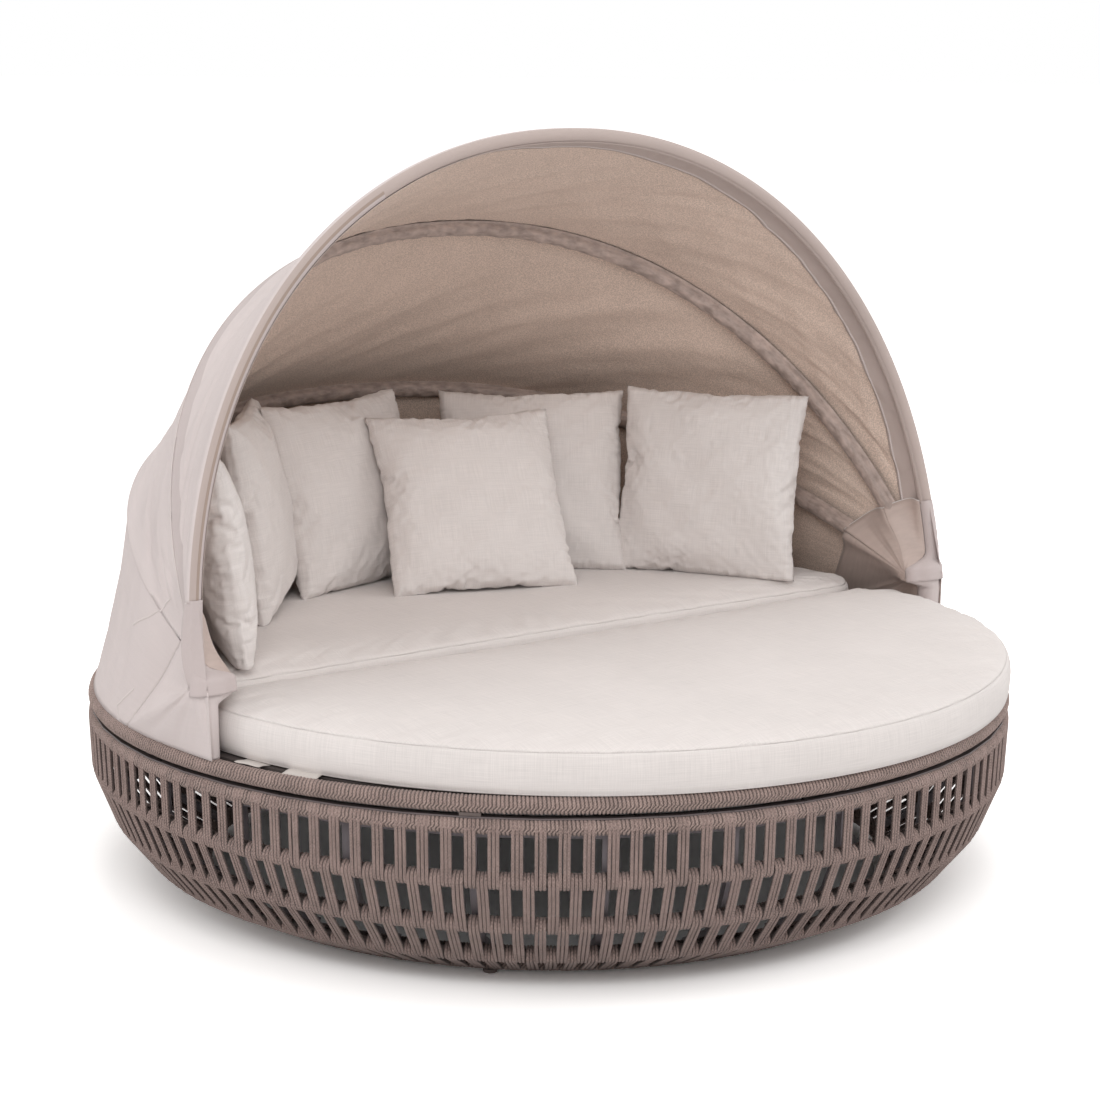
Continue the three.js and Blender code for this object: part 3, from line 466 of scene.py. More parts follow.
def moulded_finish(name, color, roughness):
    """Moulded plastic or sealed board with a fine pebbled surface."""
    finish = Finish(name, color, roughness)
    pebble = finish.noise(finish.spot, 850.0)
    cloud = finish.noise(finish.spot, 9.0, 3.0)
    finish.tinted(finish.total(cloud, (pebble, 0.4)), 0.45, 0.95, 0.84, 1.14)
    return finish.bump(pebble, 0.0002, 0.5)


rope = rope_finish("rope_braid", (155, 134, 127))
# The bars' rope is a darker copy of the rings' rope: painted shade, as the bars face down and out, away
# from the light
bar_rope_painted_shade = rope_finish("rope_braid_bars_painted_shade", (141, 121, 115))
linen = linen_finish("linen", (228, 221, 218))
canopy = canopy_finish("canopy_cloth", (218, 206, 204))
# Darker copy of the canopy cloth: painted shade where light from behind passes through a double layer
canopy_double_painted_shade = canopy_finish("canopy_double_cloth", (201, 188, 186))
# Darker copy of the canopy cloth: painted shade on the cloth turned round the front hoop and on its facing
canopy_edge_painted_shade = canopy_finish("canopy_edge_cloth", (190, 174, 168))
binding = canopy_finish("canopy_binding", (168, 149, 138))
pale_trim = canopy_finish("pale_trim", (228, 221, 218))
lining = lining_finish("canopy_lining", (202, 182, 169))
satin = satin_finish("canopy_satin", (171, 153, 145), 0.74, 1.26, 0.0022)
# Lighter copy of the satin for the covers inside the canopy: painted light against the shade there, with
# fainter painted crinkle streaks
satin_cover_painted_light = satin_finish("cover_satin_painted_light", (186, 168, 160), 0.94, 1.06, 0.0003)
seam = seam_finish("canopy_seam", (212, 201, 198))
paint = painted_finish("powder_coat", (142, 134, 138))
core_paint = painted_finish("core_powder_coat", (110, 98, 94))
track_paint = painted_finish("track_powder_coat", (104, 94, 94), 0.32, 0.5)
deck_board = moulded_finish("deck_board", (74, 66, 64), 0.7)
nylon = moulded_finish("nylon", (96, 84, 80), 0.45)
steel = steel_finish("stainless_steel", (176, 176, 178))
strap_web = linen_finish("strap_webbing", (208, 200, 194))


# Wound rings
def ring_line(node):
    """Radius and height of a ring's centre line, from its solid."""
    low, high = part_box(node)
    return high.x - WOUND_RADIUS, (low.z + high.z) / 2


def ring_points(node, tube, turn, angle):
    radius, height = ring_line(node)
    out = radius + tube * np.cos(angle)
    level = height + tube * np.sin(angle) + 0 * turn
    return np.stack([out * np.cos(turn), out * np.sin(turn), level], axis=-1)


def wound_ring(name, node, body):
    """Ring wound with rope, one turn beside the next."""
    turns = round(TURN * ring_line(node)[0] / ROPE_WIDTH)
    samples = len(RIDGE_SHARES)
    count = turns * samples
    random = np.random.default_rng(len(name) + turns)
    side = np.arange(WOUND_SIDES)[None, :] / WOUND_SIDES
    step = np.arange(count)
    swell = np.repeat(random.normal(0, WOUND_SWELL, turns), samples)
    slide = np.repeat(random.normal(0, WOUND_SLIDE_SHARE, turns), samples)
    turn = (step[:, None] + slide[:, None] - side * samples) / count * TURN
    tube = (WOUND_RADIUS - RIDGE_DEPTH * RIDGE_SHARES[step % samples] + swell)[:, None]
    faces, steps = grid_faces(count, WOUND_SIDES, True, True)
    # Across the rope the pattern starts a quarter on, so that its painted groove shade lies between the
    # turns
    around = steps[..., 1] * TURN * WOUND_RADIUS / WOUND_SIDES
    uvs = np.stack([around, steps[..., 0] * 0.5 / samples + 0.25], axis=-1)
    points = ring_points(node, tube, turn, side * TURN)
    piece = make_piece(name, points, faces[:, ::-1], [rope], body, uvs[:, ::-1])
    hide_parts(node)


def ring_core(name, node, body):
    """Bare tube of a ring that the rope bars cover from both sides."""
    turn = np.arange(CORE_RINGS)[:, None] / CORE_RINGS * TURN
    angle = np.arange(CORE_SIDES)[None, :] / CORE_SIDES * TURN
    faces, _ = grid_faces(CORE_RINGS, CORE_SIDES, True, True)
    points = ring_points(node, CORE_RADIUS, turn, angle)
    piece = make_piece(name, points, faces[:, ::-1], [core_paint], body)
    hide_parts(node)


# Rope bars
def bar_path(upper, lower, squeeze_upper, squeeze_lower):
    """Path of a bar across two rings, with the way out of it and the spacing of its ropes at each point."""
    start, end = np.array(upper), np.array(lower)
    line = unit(end - start)
    out = np.array([-line[1], line[0]])
    first = math.atan2(out[1], out[0])
    rows = []
    for turn in np.linspace(first + BAR_WRAP, first, BAR_ARC_STEPS):
        rows.append((start, turn, squeeze_upper))
    for share in np.linspace(0, 1, BAR_RUN_STEPS + 2)[1:-1]:
        rows.append((start + (end - start) * share, first, ROPE_WIDTH))
    for turn in np.linspace(first, first - BAR_WRAP, BAR_ARC_STEPS):
        rows.append((end, turn, squeeze_lower))
    centres, turns, spacing = (np.array(part) for part in zip(*rows))
    ways = np.stack([np.cos(turns), np.sin(turns)], axis=1)
    return centres + (CORE_RADIUS + ROPE_WIDTH / 2) * ways, ways, spacing


def rope_tier(index):
    """The bars between two rings: three ropes each, from over the upper ring to under the lower one."""
    name = f"rope_tier_{index}"
    lines = [ring_line(f"base_ring_{ring}") for ring in (index, index + 1)]
    squeezes = []
    for ring, (radius, _) in zip((index, index + 1), lines):
        # Two tiers share each ring but the first and the last
        room = math.pi * radius / BAR_COUNT / len(BAR_ROPES) * ROPE_OVERLAP_SHARE
        squeezes.append(ROPE_WIDTH if ring in (1, 5) else min(ROPE_WIDTH, room))
    centres, ways, spacing = bar_path(*lines, *squeezes)
    random = np.random.default_rng(40 + index)
    marks = along(centres)
    middle = np.sin(np.clip(marks / marks[-1], 0, 1) * math.pi) ** 2
    side = np.arange(BAR_SIDES) / BAR_SIDES * TURN
    half = spacing / 2 * ROPE_OVERLAP_SHARE
    faces, grid = grid_faces(len(centres), BAR_SIDES, False, True)
    blocks = []
    uv_blocks = []
    for bar in range(BAR_COUNT):
        centre_turn = (bar + 0.5 * (index % 2)) / BAR_COUNT * TURN
        shift, lean = random.normal(0, BAR_JITTER), random.normal(0, BAR_JITTER)
        for place in BAR_ROPES:
            sway = shift + (lean + random.normal(0, ROPE_JITTER)) * middle
            thick = ROPE_WIDTH / 2 * (ROPE_WIDTH / spacing) ** 0.5 + random.normal(0, ROPE_SWELL)
            section = centres[:, None] + np.cos(side)[:, None] * (ways * thick[:, None])[:, None]
            lateral = (place * spacing + sway)[:, None] + np.sin(side) * half[:, None]
            turn = centre_turn + lateral / centres[:, 0:1]
            radius, height = section[..., 0], section[..., 1]
            blocks.append(np.stack([radius * np.cos(turn), radius * np.sin(turn), height], axis=-1))
            offset = random.uniform(0, 0.1)
            uv_blocks.append(np.stack([marks[grid[..., 0]] + offset, grid[..., 1] / BAR_SIDES], axis=-1))
    starts = np.arange(len(blocks))[:, None, None] * len(centres) * BAR_SIDES
    all_faces = (faces + starts).reshape(-1, 4)
    piece = make_piece(name + "_bars", blocks, all_faces, [bar_rope_painted_shade], "base", uv_blocks)
    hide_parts(name)


def build_bowl():
    wound_ring("seat_ring_winding", "seat_ring", "seat")
    wound_ring("rim_ring_winding", "base_ring_1", "base")
    wound_ring("floor_ring_winding", "base_ring_5", "base")
    for index in (2, 3, 4):
        ring_core(f"ring_core_{index}", f"base_ring_{index}", "base")
    for index in (1, 2, 3, 4):
        rope_tier(index)


# Cushions
def cushion_outline(radius, corner):
    """Half a disc with round corners and a straight edge that pulls in a little, seen from above."""
    corner_x = math.sqrt((radius - corner) ** 2 - corner ** 2)
    tilt = math.atan2(corner, corner_x)
    right = [(corner_x + corner * math.cos(turn), corner + corner * math.sin(turn))
             for turn in np.linspace(-math.pi / 2, tilt, 40)]
    rim = [(radius * math.cos(turn), radius * math.sin(turn))
           for turn in np.linspace(tilt, math.pi - tilt, 300)]
    left = [(-x, y) for x, y in right[::-1]]
    edge = [(x, 0) for x in np.linspace(-corner_x, corner_x, 80)]
    points = np.array(right + rim[1:-1] + left + edge[1:-1])
    pull = CUSHION_PULL * np.maximum(0, 1 - (points[:, 0] / corner_x) ** 2)
    points[:, 1] += pull * np.clip(1 - points[:, 1] / corner, 0, 1)
    return resampled(points, CUSHION_STEPS, closed=True)


# Rows of a cushion's side and of the edge of its top: how far in from the outline, in metres, and share
# of the side's height
CUSHION_ROWS = (
    (0.055, 0.000),
    (0.016, 0.004),
    (0.006, 0.030),
    (0.0035, 0.060),
    (0.0045, 0.075),
    (0.0015, 0.100),
    (-0.001, 0.200),
    (-0.0035, 0.350),
    (-0.0045, 0.520),
    (-0.0030, 0.700),
    (0.0005, 0.850),
    (0.0030, 0.912),
    (0.0052, 0.924),
    (0.0078, 0.934),
    (0.0066, 0.947),
    (0.0090, 0.976),
    (0.0130, 0.990),
    (0.0190, 0.997),
    (0.0280, 1.000),
    (0.0400, 1.000),
)
CUSHION_INNER_SHARES = (0.04, 0.09, 0.15, 0.22, 0.30, 0.39, 0.49, 0.60, 0.71, 0.82, 0.92)


def cushion_surface(size, outline, around, middle):
    """Rows of points from under the cushion's edge, over its side and seam, in towards its middle."""
    ahead = np.roll(outline, -1, axis=0) - np.roll(outline, 1, axis=0)
    inward = unit(np.stack([-ahead[:, 1], ahead[:, 0]], axis=1))
    rows = [outline + inward * inset for inset, _ in CUSHION_ROWS]
    insets, shares = np.array(CUSHION_ROWS).T
    edge = rows[-1]
    inner = np.array(CUSHION_INNER_SHARES)
    rows += [edge * (1 - share) + middle * share for share in inner]
    reach = np.linalg.norm(edge - middle, axis=1)
    depth = np.concatenate([insets[:, None] + 0 * reach, insets[-1] + inner[:, None] * reach])
    level = np.concatenate([shares, 1 + 0 * inner])[:, None] * size["side"] + 0 * reach
    top = np.arange(len(rows))[:, None] > SEAM_ROW
    rises = 1 - np.exp(-np.maximum(depth - insets[SEAM_ROW], 0) / CROWN_REACH)
    points = np.concatenate([np.stack(rows), (level + size["crown"] * rises * top)[..., None]], axis=-1)
    # Creases that run in from the seam, slow swells over the top and soft bulges round the side
    crease = ripples(size["seed"], around[None, :], depth, TOP_CREASES)
    crease = crease * near(depth - CREASE_PLACE, CREASE_WIDTH)
    swell = ripples(19, points[..., 0], points[..., 1], TOP_SWELLS)
    points[..., 2] += top * (crease + np.clip(depth / SWELL_REACH, 0, 1) * swell)
    band = near(level - size["side"] * 0.5, size["side"] * 0.3)
    bulge = ripples(23, around[None, :], 0 * depth, SIDE_BULGES)
    points[..., :2] -= inward[None] * (band * bulge * ~top)[..., None]
    # Each cushion sits a little off centre and hangs over the seat ring on that side
    way = points[..., :2] / np.maximum(np.linalg.norm(points[..., :2], axis=-1), 0.1)[..., None]
    grow = size["overhang"] * smooth(points[..., 1] / 0.5) * (0.5 + 0.5 * way @ OVERHANG_WAY)
    points[..., :2] += way * (grow * smooth(depth / -0.3 + 1))[..., None]
    return points


def build_cushion(name):
    size = CUSHIONS[name]
    outline = cushion_outline(size["radius"], size["corner"])
    marks = along(np.vstack([outline, outline[:1]]))
    middle = np.array([0, size["radius"] * CUSHION_MIDDLE_SHARE])
    points = cushion_surface(size, outline, marks[:-1], middle)
    rows, count = points.shape[:2]
    faces, steps = grid_faces(rows, count, False, True)
    # The pattern lies flat on the top and runs round the side
    down = along(np.column_stack([-points[:, 0, :1], points[:, 0, 1:]]))
    row, column = steps[..., 0], steps[..., 1]
    on_side = (row.max(axis=1) <= SEAM_ROW)[:, None, None]
    uvs = np.where(on_side, np.stack([marks[column], down[row]], axis=-1), points[row, column % count, :2])
    # A point in the middle closes the underside and another closes the top
    top = size["side"] + size["crown"]
    points = np.concatenate([points.reshape(-1, 3), [[*middle, 0.0]], [[*middle, top]]])
    under, over = len(points) - 2, len(points) - 1
    last = (rows - 1) * count
    ends = []
    for step in range(count):
        following = (step + 1) % count
        ends += [(under, following, step), (last + step, last + following, over)]
    points[:, 2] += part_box(name)[0].z
    points[:, 0] *= size["way"]
    points[:, 1] = points[:, 1] * size["way"] + DECK_SPLIT + size["way"] * CUSHION_GAP / 2
    all_uvs = np.concatenate([uvs.reshape(-1, 2), points[np.array(ends).ravel(), :2]])
    piece = make_piece(f"{name}_cover", points, [*faces.tolist(), *ends], [linen], "seat", all_uvs)
    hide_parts(name)


# Pillows
def pillow_places(cells):
    """Grid places of both faces of a pillow, whose rims share their points."""
    size = cells + 1
    front = np.arange(size * size).reshape(size, size)
    back = front.copy()
    back[1:-1, 1:-1] = size * size + np.arange((size - 2) ** 2).reshape(size - 2, size - 2)
    return front, back


def pillow_quads(front, back):
    quads = []
    for ids, way in ((front, 1), (back, -1)):
        corners = np.stack([ids[:-1, :-1], ids[:-1, 1:], ids[1:, 1:], ids[1:, :-1]], axis=-1).reshape(-1, 4)
        quads.append(corners[:, ::way])
    return np.concatenate(quads)


def pillow_blank(name, seed):
    """Two square sheets of cloth joined at their edges and a little apart in the middle."""
    share = np.linspace(-1, 1, PILLOW_CELLS + 1)
    column, row = np.meshgrid(share, share)
    front, back = pillow_places(PILLOW_CELLS)
    points = np.zeros((back.max() + 1, 3))
    inside = np.maximum(np.abs(column), np.abs(row)) < 1
    dome = inside * (BLANK_EDGE + BLANK_DOME * np.sqrt(np.maximum((1 - column ** 2) * (1 - row ** 2), 0)))
    for ids, way in ((back, 1), (front, -1)):
        points[ids] = np.stack([column * PILLOW_CUT / 2, way * dome, row * PILLOW_CUT / 2], axis=-1)
    points += np.random.default_rng(seed).normal(0, BLANK_JITTER, points.shape)
    return make_piece(name, points, pillow_quads(front, back), [linen])


def refined(grid, axis):
    """A finer grid through the same points, curved smoothly between them."""
    grid = np.moveaxis(grid, axis, 0)
    before = np.concatenate([2 * grid[:1] - grid[1:2], grid[:-2]])
    after = np.concatenate([grid[2:], 2 * grid[-1:] - grid[-2:-1]])
    here, ahead = grid[:-1], grid[1:]
    rows = []
    for share in np.arange(PILLOW_FINE) / PILLOW_FINE:
        rows.append(0.5 * ((2 * here) + (ahead - before) * share
                           + (2 * before - 5 * here + 4 * ahead - after) * share ** 2
                           + (3 * here - before - 3 * ahead + after) * share ** 3))
    fine = np.stack(rows, axis=1).reshape(-1, *grid.shape[1:])
    return np.moveaxis(np.concatenate([fine, grid[-1:]]), 0, axis)


def pillow_cover(name, points, seed):
    """The finished pillow: a fine mesh over the filled shape, with seams that pucker along its edges."""
    front, back = pillow_places(PILLOW_CELLS)
    points = points - (points.max(0) + points.min(0)) / 2
    finished_side = PILLOW_CUT - PILLOW_SEAM_LOSS
    points *= np.array([finished_side, 2 * PILLOW_DEPTH, finished_side]) / np.ptp(points, axis=0)
    cells = PILLOW_CELLS * PILLOW_FINE
    share = np.linspace(-1, 1, cells + 1)
    column, row = np.meshgrid(share, share)
    side = PILLOW_CUT / 2
    inset = (1 - np.maximum(np.abs(column), np.abs(row))) * side
    upright = np.abs(column) > np.abs(row)
    # Each of the four edges has its own stretch of the waves
    edge = np.where(upright, 3 + np.sign(column), np.sign(row)) * 0.7
    spot = np.where(upright, row, column) * side + edge
    fine_front, fine_back = pillow_places(cells)
    finished = np.zeros((fine_back.max() + 1, 3))
    for ids, fine_ids, way in ((back, fine_back, 1), (front, fine_front, -1)):
        grid = refined(refined(points[ids], 0), 1)
        pucker = -np.maximum(ripples(seed + way, spot, 0 * spot, PUCKER_WAVES), 0)
        pucker = pucker * PUCKER_DEPTH * near(inset - PUCKER_PLACE, PUCKER_WIDTH)
        dents = ripples(seed + 20, column * side, row * side, PILLOW_DENTS)
        grid[..., 1] += way * (pucker + dents * np.clip(inset / DENT_REACH, 0, 1))
        finished[fine_ids] = grid
    # Seam edges wave a little
    rim = inset == 0
    finished[fine_front[rim], 1] += ripples(seed + 40, spot, 0 * spot, RIM_WAVES)[rim]
    # A filled pillow slumps: it is fuller low down than near its top edge
    finished[:, 2] -= finished[:, 2].min()
    finished[:, 1] *= 1.05 - 0.12 * finished[:, 2] / finished[:, 2].max()
    flat = np.zeros((len(finished), 2))
    flat[fine_back] = np.stack([column * side + PILLOW_CUT, row * side], axis=-1)
    flat[fine_front] = np.stack([column * side, row * side], axis=-1)
    quads = pillow_quads(fine_front, fine_back)
    # Each pillow is cut from another part of the cloth
    uvs = flat[quads] + np.array([seed * 0.37, seed * 0.21])
    return make_piece(name, finished, quads, [linen], uvs=uvs)


CLOTH_SETTINGS = {
    "quality": 6,
    "mass": 0.25,
    "tension_stiffness": 30,
    "compression_stiffness": 30,
    "shear_stiffness": 6,
    "bending_stiffness": 0.9,
    "air_damping": 2,
    "use_pressure": True,
}


def read_points(mesh):
    points = np.zeros(len(mesh.vertices) * 3)
    mesh.vertices.foreach_get("co", points)
    return points.reshape(-1, 3)


def write_points(piece, points):
    piece.data.vertices.foreach_set("co", np.asarray(points, float).ravel())
    piece.data.update()


def simulate(pieces):
    """Fills the pillows with air as cloth and keeps the last frame's shape."""
    scene = bpy.context.scene
    for index, piece in enumerate(pieces):
        cloth = piece.modifiers.new("cloth", "CLOTH")
        for key, value in CLOTH_SETTINGS.items():
            setattr(cloth.settings, key, value)
        cloth.settings.uniform_pressure_force = PILLOW_PRESSURE * (1 + 0.06 * math.sin(index * 2.3))
        cloth.settings.effector_weights.gravity = 0
        cloth.collision_settings.use_collision = False
        cloth.point_cache.frame_start = 1
        cloth.point_cache.frame_end = PILLOW_FRAMES
    for number in range(1, PILLOW_FRAMES + 1):
        scene.frame_set(number)
    graph = bpy.context.evaluated_depsgraph_get()
    for piece in pieces:
        points = read_points(piece.evaluated_get(graph).to_mesh())
        piece.evaluated_get(graph).to_mesh_clear()
        piece.modifiers.remove(piece.modifiers["cloth"])
        write_points(piece, points)
    scene.frame_set(1)


def build_pillows():
    low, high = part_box("rear_cushion")
    radius = (high.x - low.x) / 2
    names = [f"pillow_{index + 1}" for index in range(len(PILLOW_PLACE_SHARES))]
    blanks = [pillow_blank(f"{name}_blank", index + 1) for index, name in enumerate(names)]
    simulate(blanks)
    for index, (right, back, turn, lean) in enumerate(PILLOW_PLACE_SHARES):
        name, blank = names[index], blanks[index]
        piece = pillow_cover(f"{name}_cover", read_points(blank.data), index + 1)
        bpy.data.objects.remove(blank)
        place = Matrix.Translation((right * radius, back * radius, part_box(name)[0].z))
        turned = Matrix.Rotation(math.radians(turn), 4, "Z") @ Matrix.Rotation(-math.radians(lean), 4, "X")
        piece.data.transform(place @ turned)
        # The cushion that a pillow stands on presses its lower edge up
        points = read_points(piece.data)
        points[:, 2] += np.maximum(high.z + SEAT_CLEARANCE - points[:, 2], 0) * PRESSED_SHARE
        write_points(piece, points)
        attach(piece, "seat")
        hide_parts(name)


# Canopy
pivot_low, pivot_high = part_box("pivot_bolt_left")
PIVOT = np.array([0, (pivot_low.y + pivot_high.y) / 2, (pivot_low.z + pivot_high.z) / 2])
SIDEWAYS = np.array([1.0, 0, 0])


def hoop_plane(lean):
    """Directions up and forward of a plane through the pivots that leans back from upright."""
    turn = math.radians(lean)
    return np.array([0, math.sin(turn), math.cos(turn)]), np.array([0, -math.cos(turn), math.sin(turn)])


class Hoop:
    """Centre line of a canopy hoop, with the directions out of it at even shares of its length."""

    def __init__(self, half_width, reach, power, lean):
        self.half_width = half_width
        self.reach = reach
        self.power = power
        self.lean = lean
        self.up, self.forward = hoop_plane(lean)
        first = math.asin((HOOP_START / reach) ** (power / 2))
        turn = np.linspace(first, math.pi - first, 4001)
        across = -half_width * np.sign(np.cos(turn)) * np.abs(np.cos(turn)) ** (2 / power)
        self.line = np.stack([across, reach * np.sin(turn) ** (2 / power)], axis=1)
        self.marks = along(self.line)
        self.length = self.marks[-1]

    def flat(self, shares):
        wanted = np.asarray(shares) * self.length
        return np.stack([np.interp(wanted, self.marks, self.line[:, axis]) for axis in (0, 1)], axis=-1)

    def spots(self, shares):
        """Centres and outward directions."""
        here = self.flat(shares)
        step = 0.002
        ahead = unit(self.flat(np.clip(shares + step, 0, 1)) - self.flat(np.clip(shares - step, 0, 1)))
        centres = PIVOT + here[..., :1] * SIDEWAYS + here[..., 1:] * self.up
        return centres, -ahead[..., 1:] * SIDEWAYS + ahead[..., :1] * self.up

    def round(self, shares, degrees, lift):
        """Points round the hoop's tube, an angle from straight out towards the front."""
        centres, outward = self.spots(shares)
        turn = np.radians(degrees)
        return centres + lift * (outward * math.cos(turn) + self.forward * math.sin(turn))

    def share_at(self, radius):
        """Share of the length at which the left leg is as far up from the pivot as a radius."""
        half = len(self.line) // 2
        return np.interp(radius, self.line[:half, 1], self.marks[:half]) / self.length

    def leg_reach(self, radius):
        """Distance of the leg from the middle of the seat, at a radius from the pivot."""
        share = np.clip(np.asarray(radius) / self.reach, 0, 1)
        return self.half_width * (1 - share ** self.power) ** (1 / self.power)


hoops = {name: Hoop(*sizes) for name, sizes in HOOPS.items()}
front_hoop, middle_hoop, rear_hoop = hoops.values()
cloth_shares = np.linspace(CLOTH_END_SHARE, 1 - CLOTH_END_SHARE, CLOTH_COLUMNS)
WRAP_DEGREES = (180, 155, 130, 105, 80, 55, 30, 8)

# Canopy panels: the hoops in front and behind, the seed, and angles at which the cloth turns round the
# first hoop
PANELS = {
    "front": ("front", "middle", 31, WRAP_DEGREES),
    "rear": ("middle", "rear", 57, (0,)),
}


def span_frame(first, second, shares):
    """Centres on two hoops, the way across between them and the cloth's direction out."""
    start, start_out = first.spots(shares)
    end, end_out = second.spots(shares)
    across = end - start
    out = start_out + end_out
    out = out - across * ((out * across).sum(-1) / (across * across).sum(-1))[:, None]
    return start, across, unit(out)


def cloth_solid(name, grids, cloths, kinds=None):
    """A thin closed sheet between an outer and an inner grid."""
    outer, inner = grids
    rows, columns = outer.shape[:2]
    faces, steps = grid_faces(rows, columns)
    count = rows * columns
    width = along(outer[:, columns // 2])
    length = along(outer[rows // 2])
    uvs = np.stack([length[steps[..., 1]], width[steps[..., 0]]], axis=-1)
    rim = [*range(columns), *(row * columns + columns - 1 for row in range(1, rows)),
           *((rows - 1) * columns + column for column in range(columns - 2, -1, -1)),
           *(row * columns for row in range(rows - 2, 0, -1))]
    here, following = np.array(rim), np.roll(rim, -1)
    edge = np.stack([following, here, here + count, following + count], axis=1)
    edge_corners = np.stack([following, here, here, following], axis=1).ravel()
    edge_uvs = np.stack([length[edge_corners % columns], width[edge_corners // columns]], axis=1)
    points = np.concatenate([outer.reshape(-1, 3), inner.reshape(-1, 3)])
    all_faces = np.concatenate([faces, faces[:, ::-1] + count, edge])
    all_uvs = np.concatenate([uvs.reshape(-1, 2), uvs[:, ::-1].reshape(-1, 2), edge_uvs])
    outer_kinds = np.zeros(len(faces), int) if kinds is None else kinds
    all_kinds = np.concatenate([outer_kinds, np.full(len(faces), 1), np.zeros(len(edge), int)])
    piece = make_piece(name, points, all_faces, cloths, None, all_uvs, all_kinds)
    return piece


def fold_with(piece, first, second):
    """Bakes the cloth's transform into its points."""
    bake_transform(piece)


def fold_with_seat(piece):
    """Bakes the cloth's transform into its points."""
    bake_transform(piece)


def from_ends(shares, reach):
    """Share from 0 at either end of the cloth to 1 further in."""
    return smooth((shares - CLOTH_END_SHARE) / reach) * smooth((1 - CLOTH_END_SHARE - shares) / reach)


def wrinkle(seed, shares, share, hoop, width):
    """Soft slanting folds of a stretched cloth, still at its edges, in metres."""
    first = shares * hoop.length
    second = share * width
    inside = np.clip(share, 0, 1)
    folds = ripples(seed, first, second, WIDE_FOLDS) + creases(seed + 5, first, second, NARROW_FOLDS)
    from_seam = np.minimum(inside, 1 - inside) * width
    fine = ripples(seed + 1, first, 0 * first, SEAM_PUCKERS) * near(from_seam, SEAM_PUCKER_WIDTH)
    calm = np.sin(math.pi * inside) ** 0.7
    return from_ends(shares, 0.05) * calm * folds + fine * np.minimum(from_seam / SEAM_PUCKER_START, 1)


def lining_folds(seed, shares, share, hoop):
    """Sharp slanting folds in the lining alone, deepest on the left, in metres into the canopy."""
    folds = creases(seed + 9, shares * hoop.length, share * PANEL_WIDTH, LINING_CREASES)
    where = 0.35 + 0.65 * near(shares - 0.36, 0.20)
    return from_ends(shares, 0.06) * np.sin(math.pi * np.clip(share, 0, 1)) ** 0.5 * where * folds


def panel_rows(panel, shares, lift, folded=False):
    """Rows of a canopy panel from its front edge to its rear one, with a band along the rear one."""
    first, second, seed, wrap = PANELS[panel]
    hoop = hoops[first]
    start, across, out = span_frame(hoop, hoops[second], shares)
    span = np.linalg.norm(across, axis=-1)
    band = np.minimum(BAND_WIDTH / span, 0.5)
    places = [step * (1 - band) for step in np.linspace(0, 1, CLOTH_ROWS)]
    places += [1 - band * (1 - step) for step in (0.33, 0.67, 1)]
    rows = [hoop.round(shares, degrees, lift) for degrees in wrap]
    for place in places:
        sag = 4 * place * (1 - place) * CLOTH_SAG_SHARE * span
        level = lift - sag + wrinkle(seed, shares, place, hoop, PANEL_WIDTH)
        if folded:
            level = level - lining_folds(seed, shares, place, hoop)
        rows.append(start + across * place[:, None] + out * level[:, None])
    rows.append(hoops[second].round(shares, 0, lift))
    return np.stack(rows)


def front_kinds(rows, columns):
    """Cloth of each face: painted shade on the double layer by the middle hoop and round the front one,
    bound at the fold.
    """
    kinds = np.zeros((rows - 1, columns - 1), int)
    # Darker copy of the canopy cloth along the middle hoop: painted shade of the backlit double layer
    kinds[-BAND_ROWS:] = 2
    # Darker copy round the front hoop: painted shade on the cloth that turns forward and down
    kinds[:EDGE_ROWS] = 3
    third = (columns - 1) // 3
    kinds[BINDING_ROW, :third] = 4
    # The left third of the turn takes the double-layer painted shade too
    kinds[:BINDING_ROW, :third] = 2
    return kinds.ravel()


def build_panel(panel, cloths):
    grids = panel_rows(panel, cloth_shares, CLOTH_TOP), panel_rows(panel, cloth_shares, CLOTH_LIFT, True)
    kinds = front_kinds(*grids[0].shape[:2]) if panel == "front" else None
    first, second = PANELS[panel][:2]
    piece = cloth_solid(f"{panel}_canopy_cloth", grids, cloths, kinds)
    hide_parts(f"{panel}_canopy_panel")
    fold_with(piece, first, second)


def seam_cord(name, line, out, width=RIDGE_SEAM_WIDTH, material=seam):
    """Flat stitched cord along a line on the cloth: a turned seam or a binding."""
    side = unit(np.cross(np.gradient(line, axis=0), out))
    turns = np.arange(SEAM_SIDES) / SEAM_SIDES * TURN
    wide, high = np.cos(turns) * width / 2, np.sin(turns) * SEAM_RISE
    points = line[:, None] + side[:, None] * wide[:, None] + out[:, None] * high[:, None]
    faces, steps = grid_faces(len(line), SEAM_SIDES, False, True)
    uvs = np.stack([steps[..., 0] * along(line)[-1] / (len(line) - 1), steps[..., 1] / SEAM_SIDES], axis=-1)
    count = len(line) * SEAM_SIDES
    caps = [list(range(SEAM_SIDES)), list(range(count - 1, count - 1 - SEAM_SIDES, -1))]
    uvs = np.concatenate([uvs.reshape(-1, 2), np.zeros((2 * SEAM_SIDES, 2))])
    return turned_out(make_piece(name, points, list(faces) + caps, [material], None, uvs))


# Seams over the outer cloths: row of the cloth and share of its length
PANEL_SEAM_SHARES = ((25, 0.0724), (30, 0.0784))
SKIRT_SEAM_SHARES = ((0.3, 0.0790), (3.6, 0.0884), (8.4, 0.1083))
SKIRT_PLEAT_SHARES = ((17.0, 0.0624), (22.6, 0.0724), (24.9, 0.0560))


